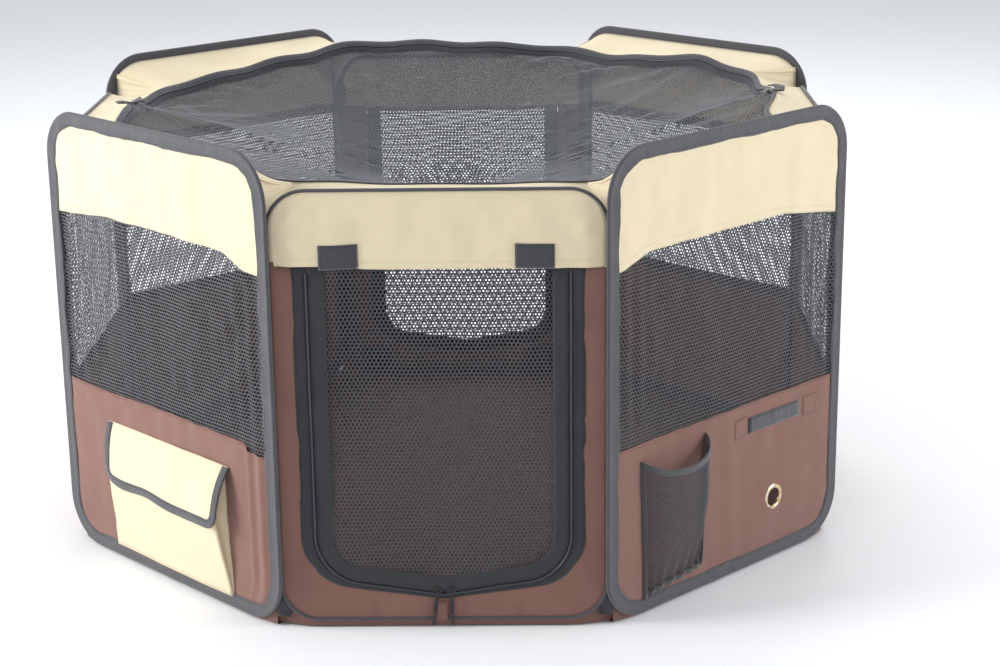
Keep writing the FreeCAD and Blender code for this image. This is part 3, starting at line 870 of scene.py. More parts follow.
def stitches(spots, normal):
    """Spindles along a line of points, proud of the cloth whose normal is given."""
    spots = np.asarray(spots, float)
    normal = np.broadcast_to(normal, spots.shape)
    run = run_along(spots)
    at = np.arange(STITCH_PITCH / 2, run[-1], STITCH_PITCH)
    centre, face = points_at(at, run, spots), points_at(at, run, normal)
    along = points_at(at + 0.0005, run, spots) - centre
    along /= np.linalg.norm(along, axis=1, keepdims=True) + 1e-12
    side = np.cross(along, face)
    half, thick = STITCH_LONG / 2, STITCH_THICK
    corners = [centre - along * half, centre + side * thick, centre + face * thick * 1.3,
               centre - side * thick, centre - face * thick * 0.6, centre + along * half]
    points = np.stack(corners, axis=1).reshape(-1, 3)
    pattern = np.array([(0, 2, 1), (0, 3, 2), (0, 4, 3), (0, 1, 4),
                        (5, 1, 2), (5, 2, 3), (5, 3, 4), (5, 4, 1)])
    faces = (np.arange(len(at))[:, None, None] * 6 + pattern).reshape(-1, 3)
    return points, faces.tolist(), np.column_stack([points[:, 0] + points[:, 1], points[:, 2]])


def stitch_piece(name, lines, finish, body):
    """One piece from several stitch lines, each (points, normal)."""
    points, faces, cut = merge([stitches(spots, normal) for spots, normal in lines])
    return make_piece(name, points, faces, finish, body, cut=cut, smooth=False)


def wall_stitches(name, wall, spots, out, thread, body="wall"):
    """A stitch piece along (across, up) points of a wall, out metres off its cloth."""
    lines = [(on_wall(wall, line[:, 0], out, line[:, 1]), directions(wall)[1]) for line in spots]
    return stitch_piece(name, lines, thread, f"{wall}_{body}")


def hem_line(wall, shape, above):
    """A stitch line that follows a hem, above metres over its edge."""
    half = WALL_SIZE[wall][0] - 0.024
    across = np.linspace(-half, half, 90)
    return [np.column_stack([across, line_through(shape)(across) + above])]


for wall in FACING:
    face = directions(wall)[1]
    if is_bound(wall):
        spots, inward = outline_path(wall, TAPE_WIDTH - 0.0028)
        lines = [(on_wall(wall, spots[:, 0], side * 0.0023, spots[:, 1]), face * side) for side in (1, -1)]
        stitch_piece(wall + "_tape_stitches", lines, DARK_THREAD, wall + "_wall")
    on_door = wall in DOOR_WALLS
    wall_stitches(wall + "_band_stitches", wall, hem_line(wall, band_shape(wall), 0.009),
                  0.0037 if on_door else 0.0021, SAND_THREAD)
    if not on_door:
        wall_stitches(wall + "_lower_stitches", wall, hem_line(wall, lower_shape(wall), -0.003), 0.0017,
                      BROWN_THREAD)
print("stitched walls:", len(FACING))

# %% [markdown]
# A door is a U-shaped panel of net with zip tape round it. The same U, drawn larger or
# smaller, gives the doorway in the brown cloth, both halves of the zip tape and the net,
# so they always fit each other. Cloth between two of these lines is a ruled grid.
# %% The U of a doorway
def u_line(half, low, radius, top, slope):
    """Points (across, up) of a U with a shallow V below, from the top left to the top right."""
    lean = math.atan(slope)
    centre = (-half + radius, low + slope * (half - radius) + radius * math.hypot(1, slope))
    turns = np.linspace(math.pi, 1.5 * math.pi - lean, 14)
    arc = np.column_stack([centre[0] + radius * np.cos(turns), centre[1] + radius * np.sin(turns)])
    down = np.linspace((-half, top), (-half, arc[0, 1]), 16)
    along = np.linspace(arc[-1], (0.0, low), 13)
    left = np.concatenate([down[:-1], arc, along[1:]])
    return np.concatenate([left, left[-2::-1] * (-1, 1)])


def inside_u(across, rise, half, low, radius, slope):
    """Which points lie inside the U."""
    lean, far = math.atan(slope), np.abs(across)
    middle, level = half - radius, low + slope * (half - radius) + radius * math.hypot(1, slope)
    round_part = level - np.sqrt(np.maximum(radius ** 2 - (far - middle) ** 2, 0))
    floor_line = np.where(far > middle + radius * math.sin(lean), round_part, low + slope * far)
    return (far < half) & (rise > floor_line)


def ruled(name, wall, first, last, finish, body, stands_for, rows, wave, out=0.0):
    """Cloth between two lines of (across, up) that have the same number of points."""
    t = np.linspace(0, 1, rows)[:, None, None]
    flat = (first * (1 - t) + last * t).reshape(-1, 2)
    lift = out + wave * np.sin(np.repeat(np.linspace(0, 60, len(first))[None], rows, 0).ravel())
    lift = lift * np.repeat(np.linspace(0, 1, rows) > 0.01, len(first))
    piece = make_piece(name, on_wall(wall, flat[:, 0], lift, flat[:, 1]), grid_quads(rows, len(first)),
                       finish, body, stands_for, cut=flat)
    thicken(piece, CLOTH_THICK)
    return piece


def even_steps(spots, step):
    """The same line with its points an even step apart."""
    run = run_along(spots)
    return points_at(np.linspace(0, run[-1], max(int(run[-1] / step), 2) + 1), run, spots)


SLOPE = 0.15                # of the door's foot, towards its middle
COIL_PITCH = 0.0011
tape_low, tape_high = wall_box("front_door_tape", "front")
net_low, net_high = wall_box("front_door_net", "front")
ZIP_HALF, ZIP_LOW, ZIP_RADIUS = tape_high[0] + 0.0012, tape_low[2] - 0.0012, 0.0632
NET_HALF, NET_LOW, NET_RADIUS = net_high[0], net_low[2], 0.042
DOOR_TOP = DOOR_BAND_FOOT + 0.008
SURROUND_TOP = DOOR_BAND_FOOT + 0.010


def ribbed_cord(wall, spots, out, radius):
    """A zip's coil: a thin cord with a rib for each tooth."""
    spots = even_steps(spots, COIL_PITCH / 2)
    along = heading(spots)
    path = np.column_stack([spots[:, 0], np.full(len(spots), out), spots[:, 1]])
    side = np.column_stack([-along[:, 1], np.zeros(len(spots)), along[:, 0]])
    size = np.where(np.arange(len(spots)) % 2, 1.0, 0.72)[:, None, None]
    profile = disc_profile(radius, 6)[None] * (size * np.array((1.0, 0.8)))
    return table_sweep(wall, path, side, (0.0, 1.0, 0.0), profile, closed=False)


def doorway(wall):
    half, foot, _, radius = WALL_SIZE[wall]
    body = wall + "_wall"
    edge = u_line(half - 0.003, foot + 0.003, radius - 0.003, SURROUND_TOP, 0.0)
    cut_line = u_line(ZIP_HALF + 0.001, ZIP_LOW - 0.001, ZIP_RADIUS, SURROUND_TOP, SLOPE)
    ruled(wall + "_surround_cloth", wall, edge, cut_line, BROWN_CLOTH, body,
          [wall + "_surround"], 12, 0.0005)
    fixed = u_line(ZIP_HALF + 0.018, ZIP_LOW - 0.006, ZIP_RADIUS + 0.006, DOOR_TOP, SLOPE - 0.02)
    meet = u_line(ZIP_HALF + 0.0008, ZIP_LOW - 0.0008, ZIP_RADIUS, DOOR_TOP, SLOPE)
    ruled(wall + "_zip_fixed_tape", wall, fixed, meet, ZIP_TAPE, body, [], 5, 0.0002, 0.0011)
    opened = u_line(ZIP_HALF - 0.0008, ZIP_LOW + 0.0008, ZIP_RADIUS, DOOR_TOP, SLOPE)
    inner = u_line(NET_HALF - 0.001, NET_LOW + 0.001, NET_RADIUS, DOOR_TOP, SLOPE)
    ruled(wall + "_door_zip_tape", wall, opened, inner, ZIP_TAPE, wall + "_door",
          [wall + "_door_tape"], 6, 0.0003, 0.0013)
    coil_line = u_line(ZIP_HALF, ZIP_LOW, ZIP_RADIUS, DOOR_BAND_FOOT - 0.004, SLOPE)
    points, faces, cut = ribbed_cord(wall, coil_line, 0.0022, 0.0019)
    make_piece(wall + "_door_coil", points, faces, COIL, wall + "_door", cut=cut)
    for share, label in ((0.30, "outer"), (0.72, "inner")):
        wall_stitches(f"{wall}_door_stitches_{label}", wall, [opened * (1 - share) + inner * share], 0.0019,
                      DARK_THREAD, "door")
    edge_stitch = u_line(ZIP_HALF + 0.016, ZIP_LOW - 0.0045, ZIP_RADIUS + 0.005, DOOR_TOP - 0.004,
                         SLOPE - 0.02)
    wall_stitches(wall + "_zip_stitches", wall, [edge_stitch], 0.0018, DARK_THREAD)

    def keep(x, y):
        inside = inside_u(x, y, NET_HALF + 0.004, NET_LOW - 0.004, NET_RADIUS + 0.003, SLOPE)
        return inside & (y < DOOR_TOP - 0.002)

    flat, quads, is_inner = knit((-NET_HALF, NET_LOW), (NET_HALF, DOOR_TOP), keep)
    out = 0.0018 * np.sin(flat[:, 0] * 40) * np.sin(flat[:, 1] * 17) - STRAND_CROWN * is_inner - 0.0006
    net = net_piece(wall + "_door_mesh", on_wall(wall, flat[:, 0], out, flat[:, 1]), quads, NET_YARN,
                    wall + "_door", wall + "_door_net", flat)
    print(wall, "door: net cells", len(quads) // 6, "coil teeth", len(cut) // 12)


for wall in DOOR_WALLS:
    doorway(wall)

# %% [markdown]
# Two sliders run up and down the coil, and each has a thin black pull. The pull is a flat
# bar with a slot in its foot, cut from an outline with a hole, then bevelled so that its
# worn edges can shine.
# %% Sliders and pulls
def outline_plate(outer, inner, thick):
    """A plate between an outline and a hole with as many points, as (x, y, z) on the XZ plane."""
    count = len(outer)
    rings = []
    for line, depth in ((outer, -thick), (inner, -thick), (inner, thick), (outer, thick)):
        rings.append(np.column_stack([line[:, 0], np.full(count, depth / 2), line[:, 1]]))
    return np.concatenate(rings), grid_quads(4, count, wrap_rows=True, wrap_cols=True)


def long_round(half_wide, low, high):
    """A slot's outline: two half circles joined by straight sides."""
    turns = np.linspace(0, 2 * math.pi, 32, endpoint=False)
    x, z = half_wide * np.cos(turns), half_wide * np.sin(turns)
    return np.column_stack([x, np.where(z >= 0, high - half_wide, low + half_wide) + z])


def bevel(piece, width):
    made = piece.modifiers.new("edge", "BEVEL")
    made.width = width
    made.segments = 2
    made.limit_method = "ANGLE"
    return piece


def zip_metal_piece(name, wall, body, points, faces, cut):
    return make_piece(name, place(wall, points), faces, ZIP_METAL, body, [body], cut=cut,
                      smooth=False)


def slider_and_pull(wall, side, lean):
    low, high = wall_box(f"{wall}_slider_{side}", wall)
    middle, half = (low + high) / 2, (high - low) / 2
    parts = []
    for out in (high[1] - 0.0034, low[1] + 0.0008):
        outer = long_round(half[0] * 0.78, -half[2] * 1.02, half[2] * 1.02)
        outer[:, 0] *= 1.0 + 0.22 * (outer[:, 1] > 0)
        spots, faces = outline_plate(outer, outer * 0.22, 0.0016)
        parts.append((spots + (middle[0], out, middle[2]), faces.tolist(), spots[:, ::2]))
    turns = np.linspace(0, math.pi, 9)
    bail = np.column_stack([np.full(9, middle[0]), high[1] - 0.0030 + 0.0026 * np.sin(turns),
                            middle[2] + 0.0048 * np.cos(turns)])
    rise = np.cross(heading(bail), (1.0, 0.0, 0.0))
    parts.append(sweep(bail, np.tile((1.0, 0, 0), (9, 1)), rise, disc_profile(0.0009, 8), closed=False))
    spots, faces, cut = merge(parts)
    made = zip_metal_piece(f"{wall}_zip_slider_{side}", wall, f"{wall}_slider_{side}", spots, faces, cut)
    bevel(made, 0.0003)
    low, high = wall_box(f"{wall}_pull_{side}", wall)
    length, half_wide = high[2] - low[2], 0.0023
    outer = long_round(half_wide, -length, 0.0012)
    slot = long_round(half_wide * 0.42, -length + 0.0022, -length + 0.0150)
    spots, faces = outline_plate(outer, slot, 0.0012)
    cut = spots[:, ::2].copy()
    spots[:, 1] += 0.0010 * np.sin(spots[:, 2] * 70)
    turn = math.radians(lean)
    x, z = spots[:, 0].copy(), spots[:, 2].copy()
    spots[:, 0] = x * math.cos(turn) - z * math.sin(turn)
    spots[:, 2] = x * math.sin(turn) + z * math.cos(turn)
    spots += ((low[0] + high[0]) / 2, (low[1] + high[1]) / 2, high[2] - 0.0018)
    made = zip_metal_piece(f"{wall}_zip_pull_{side}", wall, f"{wall}_pull_{side}", spots, faces, cut)
    bevel(made, 0.00025)


for wall in DOOR_WALLS:
    slider_and_pull(wall, "left", -7.0)
    slider_and_pull(wall, "right", 1.5)
print("sliders and pulls:", 4 * len(DOOR_WALLS))

# %% [markdown]
# Patches of hook-and-loop tape hold the rolled-up door and a drink bottle. A patch is a
# small crowned pad with a line of box stitching just inside its edge.
# %% Patches
PATCH_INSET = 0.0022        # of the stitches from the patch's edge
HOOK_LOOK = (HOOK_PATCH, DARK_THREAD, "hook_loop")
TAB_LOOK = (BROWN_CLOTH, BROWN_THREAD, "brown_cloth")


def patch(name, wall, across, rise, out, thick, look, stands_for=(), slant=0.0, curl=0.0):
    """A sewn patch between across = (left, right) and rise = (foot, top)."""
    finish, thread, slot = look
    s, t = np.meshgrid(np.linspace(0, 1, 15), np.linspace(0, 1, 9))
    x = across[0] + (across[1] - across[0]) * s
    z = rise[0] + (rise[1] - rise[0]) * t + slant * (s - 0.5)
    crown = thick * (1 - 0.6 * (2 * s - 1) ** 6) * (1 - 0.6 * (2 * t - 1) ** 6) + curl * (1 - t) * s ** 2
    points = on_wall(wall, x, out + crown / 2, z)
    piece = make_piece(name, points, grid_quads(9, 15), finish, wall + "_wall", stands_for,
                       cut=np.column_stack([x.ravel(), z.ravel()]))
    thicken(piece, thick)
    wide, tall = across[1] - across[0], rise[1] - rise[0]
    border = np.array([(0, 0), (1, 0), (1, 1), (0, 1), (0, 0)])
    line = border * (wide - 2 * PATCH_INSET, tall - 2 * PATCH_INSET) + PATCH_INSET + (across[0], rise[0])
    line = even_steps(line, 0.003)
    line[:, 1] += slant * ((line[:, 0] - across[0]) / wide - 0.5)
    wall_stitches(name + "_stitches", wall, [line], out + thick * 1.05, thread)
    return piece


low, high = wall_box("front_strap_pads", "front")
PATCH_WIDE = 0.0475
BAND_FACE = 0.0036
for side, left, slant in (("left", low[0] - 0.002, 0.0012), ("right", high[0] - PATCH_WIDE, -0.0010)):
    patch("front_strap_patch_" + side, "front", (left, left + PATCH_WIDE), (low[2], high[2]), BAND_FACE,
          0.0016, HOOK_LOOK, ["front_strap_pads"], slant=slant)
low, high = wall_box("bottle_strap", "front_right")
TAB_WIDE = 0.029
for side, left, right in (("left", low[0], low[0] + TAB_WIDE - 0.002),
                          ("right", high[0] - TAB_WIDE - 0.002, high[0])):
    patch("bottle_strap_tab_" + side, "front_right", (left, right), (low[2], high[2]), 0.0012, 0.0011,
          TAB_LOOK)
patch("bottle_strap_pad", "front_right", (low[0] + TAB_WIDE, high[0] - TAB_WIDE - 0.009), (0.192, 0.213),
      0.0014, 0.0018, HOOK_LOOK, ["bottle_strap"], slant=0.001, curl=0.0015)
for number, across in enumerate((-0.125, 0.150)):
    patch(f"inside_tab_{number + 1}", "back", (across - 0.020, across + 0.020), (0.012, 0.056), -0.0044,
          0.0015, HOOK_LOOK)
patch("front_foot_tab", "front", (-0.012, 0.004), (0.009, 0.034), 0.0012, 0.0022, TAB_LOOK)
for wall in DOOR_WALLS:
    seams = [np.linspace((across, 0.013), (across, 0.036), 12) for across in (-0.089, -0.086, 0.092, 0.095)]
    wall_stitches(wall + "_surround_seams", wall, seams, 0.0010, BROWN_THREAD)
print("patches and tabs: 8")

# %% [markdown]
# The storage pocket is a wedge of sand cloth. Its sides are gussets that fold inwards, so
# it is deeper at the mouth. One grid goes from the wall, over the left gusset, the face
# and the right gusset, back to the wall.
# %% Storage pocket
POCKET_WALL = "front_left"
low, high = wall_box("storage_pocket", POCKET_WALL)
POCKET_LEFT, POCKET_RIGHT, POCKET_FOOT, POCKET_MOUTH = low[0], high[0], low[2], high[2]
POCKET_DEEP, POCKET_SHALLOW = high[1], 0.0045
flap_low, flap_high = wall_box("storage_flap", POCKET_WALL)
FLAP_LEFT, FLAP_RIGHT, FLAP_HINGE = flap_low[0], flap_high[0], flap_high[2]
FLAP_FOOT = POCKET_MOUTH - 0.071


def fold_flat(piece):
    """Gives the piece its own copy of its mesh."""
    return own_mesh(piece)


def flap_out(rise):
    """How far the flap stands out at a height: it leaves the wall at its seam and levels off."""
    share = np.clip((FLAP_HINGE - rise) / (FLAP_HINGE - FLAP_FOOT), 0, 1)
    return 0.0030 + (POCKET_DEEP - 0.0020) * (1 - (1 - share) ** 2.3)


def pocket_depth(rise):
    """The pocket widens upwards, and under the flap it follows the flap."""
    share = np.clip((rise - POCKET_FOOT) / (POCKET_MOUTH - POCKET_FOOT), 0, 1)
    wedge = POCKET_SHALLOW + (POCKET_DEEP - POCKET_SHALLOW) * np.minimum(share / 0.75, 1) ** 0.9
    return np.minimum(wedge - 0.0015, flap_out(rise) - 0.0045)


def pocket_lean(across):
    """The pocket stands out further on its right, towards the door."""
    return 0.42 + 0.58 * np.clip((across - POCKET_LEFT) / (POCKET_RIGHT - POCKET_LEFT), 0, 1)


def storage_pocket():
    rows, gusset, face = 24, 7, 41
    t = np.linspace(0, 1, rows)
    rise = POCKET_FOOT - 0.004 + (POCKET_MOUTH - POCKET_FOOT + 0.004) * t
    points, cut = [], []
    for z, share in zip(rise, t):
        deep = float(pocket_depth(z))
        left, right = POCKET_LEFT - 0.003 * share, POCKET_RIGHT - 0.006 * share
        g = np.linspace(0, 1, gusset)
        fold = 0.22 * deep * np.sin(math.pi * g)
        s = np.linspace(0, 1, face)
        belly = 0.0018 * np.sin(math.pi * s) * (1 - share) + 0.0012 * np.sin(7 * s + 2 * share) * share
        x = np.concatenate([left + fold, left + (right - left) * s[1:-1], right - fold[::-1]])
        out = np.concatenate([deep * g, deep + belly[1:-1], deep * g[::-1]]) * pocket_lean(x) + 0.0012
        points.append(on_wall(POCKET_WALL, x, out, z))
        cut.append(np.column_stack([run_along(np.column_stack([x, out])), np.full(len(x), z)]))
    cols = len(points[0])
    piece = make_piece("storage_pocket_cloth", np.concatenate(points), grid_quads(rows, cols), SAND_CLOTH,
                       POCKET_WALL + "_wall", ["storage_pocket"], cut=np.concatenate(cut))
    thicken(piece, 0.0008)
    fold_flat(piece)
    s, sewn = np.linspace(0.02, 0.98, 60), POCKET_MOUTH - 0.006
    line = np.column_stack([POCKET_LEFT + (POCKET_RIGHT - POCKET_LEFT - 0.009) * s, np.full(60, sewn)])
    out = float(pocket_depth(sewn)) * pocket_lean(POCKET_LEFT + 0.2 * s) + 0.0018
    hem = wall_stitches("storage_pocket_stitches", POCKET_WALL, [line], out, SAND_THREAD)
    fold_flat(hem)
    return piece


storage_pocket()
print("pocket depth at the mouth, mm:", round(POCKET_DEEP * 1000, 1))

# %% [markdown]
# The flap starts at a seam on the wall, slopes out over the mouth and hangs down the face.
# It is drawn flat first, as (across, down), then laid over that bend. Its tape follows the
# same flat drawing, so cloth and tape bend together.
# %% Pocket flap
FLAP_CORNER = 0.020
FLAP_TAPE_SECTION = np.array([(-0.0010, 0.0), (-0.0006, 0.0012), (0.0008, 0.0016), (0.0055, 0.0015),
                              (0.0106, 0.0013), (0.0114, 0.0008), (0.0114, -0.0008), (0.0055, -0.0012),
                              (-0.0004, -0.0012)])         # in from the edge, and out
bend_rise = np.linspace(FLAP_HINGE, FLAP_FOOT - 0.012, 160)
bend_out = flap_out(bend_rise)
bend_run = run_along(np.column_stack([bend_rise, bend_out]))
FLAP_LONG = float(np.interp(-FLAP_FOOT, -bend_rise, bend_run))


def flap_bend(down):
    """Out and up of the flap's cloth, down metres from its seam, and its outward normal."""
    slope_out, slope_rise = np.gradient(bend_out, bend_run), np.gradient(bend_rise, bend_run)
    return [np.interp(down, bend_run, part) for part in (bend_out, bend_rise, -slope_rise, slope_out)]


def on_flap(across, down, lift):
    """Points on the flap's cloth, lift metres above it; its lower edge is a little wavy."""
    out, rise, normal_out, normal_up = flap_bend(down)
    share = np.clip(down / FLAP_LONG, 0, 1)
    wave = 0.0016 * share ** 2 * np.sin(across * 62 + 1.0)
    sway = 0.0022 * share ** 2 * np.sin(across * 48 + 2.2)
    return on_wall(POCKET_WALL, across, out * pocket_lean(across) + 0.0012 * share + wave + lift * normal_out,
                   rise + sway + lift * normal_up)


def storage_flap():
    rows, cols = 30, 61
    s, t = np.meshgrid(np.linspace(-1, 1, cols), np.linspace(0, 1, rows))
    half, middle = (FLAP_RIGHT - FLAP_LEFT) / 2, (FLAP_RIGHT + FLAP_LEFT) / 2
    down = t * (FLAP_LONG - 0.0008)
    into = np.clip(down - (FLAP_LONG - FLAP_CORNER), 0, FLAP_CORNER)
    wide = half - FLAP_CORNER + np.sqrt(FLAP_CORNER ** 2 - into ** 2)
    across = middle + s * wide
    across, down = across.ravel(), down.ravel()
    cloth = make_piece("storage_flap_cloth", on_flap(across, down, 0.0), grid_quads(rows, cols), SAND_CLOTH,
                       "storage_flap", ["storage_flap"], cut=np.column_stack([across, -down]))
    thicken(cloth, 0.0009)
    turns = np.linspace(0, math.pi / 2, 9)
    left = np.linspace((FLAP_LEFT, 0.001), (FLAP_LEFT, FLAP_LONG - FLAP_CORNER), 24)
    bow = np.column_stack([FLAP_LEFT + FLAP_CORNER * (1 - np.cos(turns)),
                           FLAP_LONG - FLAP_CORNER * (1 - np.sin(turns))])
    base = np.linspace((bow[-1, 0], FLAP_LONG), (middle, FLAP_LONG), 32)
    line = np.concatenate([left[:-1], bow, base[1:]])
    line = np.concatenate([line, line[-2::-1] * (-1, 1) + (2 * middle, 0)])
    inward = heading(line)[:, ::-1] * (1, -1)
    parts = [on_flap(*(line + inward * wide).T, lift) for wide, lift in FLAP_TAPE_SECTION]
    count = len(FLAP_TAPE_SECTION)
    faces = grid_quads(len(line), count, wrap_cols=True).tolist() + end_caps(len(line), count)
    cut = np.column_stack([np.repeat(run_along(line), count), np.tile(FLAP_TAPE_SECTION[:, 0], len(line))])
    tape = make_piece("storage_flap_tape", np.stack(parts, axis=1), faces, EDGE_TAPE, "storage_flap",
                      cut=cut)
    sewn = on_flap(*(line + inward * 0.0092).T, 0.0017)
    thread = stitch_piece("storage_flap_stitches", [(sewn, directions(POCKET_WALL)[1])], DARK_THREAD,
                          "storage_flap")
    for piece in (cloth, tape, thread):
        fold_flat(piece)
    return cloth


storage_flap()
print("flap length from its seam, mm:", round(FLAP_LONG * 1000, 1))

# %% [markdown]
# The bottle pocket is a bag of net that stands out from the wall. Its net is knitted flat,
# then wrapped round the bag's shape: straight at the sides where it is sewn on, round in
# the middle, gathered at the foot. Narrow tapes bind its mouth, sides and foot.
# %% Bottle pocket
BOTTLE_WALL = "front_right"
low, high = wall_box("bottle_pocket", BOTTLE_WALL)
BOTTLE_LEFT, BOTTLE_RIGHT, BOTTLE_FOOT, BOTTLE_TOP, BOTTLE_DEEP = low[0], high[0], low[2], high[2], high[1]


def on_bottle_pocket(s, t, lift):
    """Points of the pocket; s runs across it and t up it, both from 0 to 1."""
    s, t = np.broadcast_arrays(np.asarray(s, float), np.asarray(t, float))
    fill = np.clip(0.10 + 1.7 * t, 0, 1) * (1 - 0.12 * np.clip(t - 0.75, 0, 1) * 4)
    bow = np.sin(math.pi * np.clip(s, 0, 1)) ** 0.75 * (0.82 + 0.36 * s)
    out = 0.0016 + (BOTTLE_DEEP - 0.004) * fill * bow + lift
    pucker = 0.0022 * np.sin(s * 46) * np.clip(1 - t * 3, 0, 1)
    sag = -0.019 * np.sin(math.pi * s) * np.clip((t - 0.5) * 2, 0, 1)
    left, right = BOTTLE_LEFT + 0.006 * (1 - t), BOTTLE_RIGHT - 0.008 * (1 - t)
    spread = s + 0.075 * np.sin(2 * math.pi * s) * -0.8
    across = left + (right - left) * spread
    skew = (s - 0.5) * 0.016 * (1 - t) + 0.012 * s * t
    rise = BOTTLE_FOOT + (BOTTLE_TOP - BOTTLE_FOOT) * t + sag + skew * (1 - 0.4 * t)
    return on_wall(BOTTLE_WALL, across, out + pucker, rise)


def pocket_tape(side, s, t, wide_s, wide_t):
    """A narrow tape on the pocket along (s, t); it is wide_s by wide_t across its run."""
    s, t = np.broadcast_arrays(s, t)
    w = np.linspace(-0.5, 0.5, 5)
    points = on_bottle_pocket((s[:, None] + w * wide_s).ravel(), (t[:, None] + w * wide_t).ravel(), 0.0008)
    cut = np.column_stack([np.repeat(np.linspace(0, 0.18, len(s)), len(w)), np.tile(w * 0.008, len(s))])
    piece = make_piece(f"bottle_pocket_{side}_tape", points, grid_quads(len(s), len(w)), EDGE_TAPE,
                       BOTTLE_WALL + "_wall", cut=cut)
    return thicken(piece, 0.0022)


BOTTLE_ROUND = 0.158        # the net's own width, round the bag
BOTTLE_SHARE = 0.62
BOTTLE_TALL = BOTTLE_TOP - BOTTLE_FOOT
flat, quads, is_inner = knit((0, 0), (BOTTLE_ROUND, BOTTLE_TALL), lambda x, y: (
    (x > 0) & (x < BOTTLE_ROUND) & (y > 0) & (y < BOTTLE_TALL)), share=BOTTLE_SHARE)
spots = on_bottle_pocket(flat[:, 0] / BOTTLE_ROUND, flat[:, 1] / BOTTLE_TALL, -STRAND_CROWN * is_inner)
bag = net_piece("bottle_pocket_net", spots, quads, NET_YARN, BOTTLE_WALL + "_wall", "bottle_pocket", flat)
even = np.linspace(0, 1, 40)
tapes = [pocket_tape("mouth", even, 1.0, 0.0, 0.055), pocket_tape("left", 0.012, even * 1.02, 0.05, 0.0),
         pocket_tape("right", 0.985, even * 1.02, 0.05, 0.0), pocket_tape("foot", even, 0.006, 0.0, 0.040)]
print("bottle pocket cells:", len(quads) // 6)

# %% [markdown]
# The eyelet is two rings of thin plated brass, pressed together through the cloth. A
# section turned round an axis is the right way to make it, as a lathe would.
# %% Eyelet
EYELET_SECTION = ((12.0, -1.2), (12.1, 0.9), (12.7, 1.9), (14.0, 2.5), (15.8, 2.4), (17.6, 1.8), (18.8, 1.0),
                  (19.0, 0.5), (18.6, 0.4), (15.6, 0.5), (13.4, 0.3), (13.4, -0.9), (18.0, -1.1), (18.9, -1.3),
                  (18.8, -1.8), (16.0, -2.4), (13.0, -2.1))      # radius and out, in mm


def eyelet():
    section = np.array(EYELET_SECTION) / 1000
    turns = np.linspace(0, 2 * math.pi, 56, endpoint=False)
    radius, out = section[:, 0], section[:, 1]
    across = EYELET_ACROSS + np.outer(np.cos(turns), radius)
    rise = EYELET_RISE + np.outer(np.sin(turns), radius)
    depth = np.tile(out, (len(turns), 1)) + float(give(BOTTLE_WALL, EYELET_ACROSS, EYELET_RISE))
    points = place(BOTTLE_WALL, np.stack([across, depth, rise], axis=-1))
    faces = grid_quads(len(turns), len(section), wrap_rows=True, wrap_cols=True)
    return make_piece("eyelet_ring", points, faces, NICKEL, BOTTLE_WALL + "_wall", ["eyelet"])


eyelet()
print("eyelet at", round(EYELET_ACROSS, 3), round(EYELET_RISE, 3))

# %% [markdown]
# Inside, a dark tape covers each of the eight corner seams, from the floor to the collar.
# It is sewn to the wall that is piped, so it folds away with that wall.
# %% Corner seam tapes
SEAM_TAPE = 0.017
for wall in FACING:
    if is_bound(wall):
        continue
    half, _, top, _ = WALL_SIZE[wall]
    for side, label in ((-1, "left"), (1, "right")):
        rise = np.linspace(0.014, top - 0.052, 46)
        edge = half + 0.004
        path = np.column_stack([side * (edge - SEAM_TAPE / 2 + 0.0010 * np.sin(rise * 31)),
                                -0.0042 + 0.0006 * np.sin(rise * 47), rise])
        w, h = SEAM_TAPE / 2, 0.0006
        section = np.array([(-w, -h), (w, -h), (w, h), (0, 1.6 * h), (-w, h)])
        points, faces, cut = table_sweep(wall, path, (1.0, 0, 0), (0, 1.0, 0), section, closed=False)
        make_piece(f"{wall}_seam_tape_{label}", points, faces, EDGE_TAPE, wall + "_wall",
                   cut=cut)
print("seam tape width, mm:", SEAM_TAPE * 1000)

# %% [markdown]
# The cover is zipped into a wavy ring. The ring is cut as an octagon and rises towards the
# back. How high it is at each angle is a short list, eased between its points, because no
# simple rule gives a slack edge. The collar, the zip and the net all ask ring_line for it.
# %% The line of the cover's ring
RING_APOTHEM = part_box("cover_tape")[1].y
RING_TAPE = 0.0185
TIP_TURNS = (-3.09, 0.04)            # the zip starts and ends here, at the left and right
# Degrees round from +X, and the height in metres.
RING_RISE = ((-180, 0.583), (-172, 0.583), (-155, 0.579), (-135, 0.562), (-115, 0.557), (-90, 0.553),
             (-65, 0.553), (-40, 0.557), (-12, 0.567), (2, 0.581), (16, 0.580), (38, 0.595), (54, 0.577),
             (66, 0.579), (87, 0.592), (112, 0.594), (131, 0.581), (151, 0.570), (166, 0.562), (180, 0.583))
RING_TURNS, RING_RISES = np.array(RING_RISE).T
RING_TURNS = np.radians(RING_TURNS)


def octagon_reach(turn, apothem):
    """How far the octagon's side is from the middle, at an angle."""
    off = (turn + math.pi / 8) % (math.pi / 4) - math.pi / 8
    return apothem / np.cos(off)


def wrap(turn):
    """The same angle between minus and plus half a turn."""
    return (np.asarray(turn) + math.pi) % (2 * math.pi) - math.pi


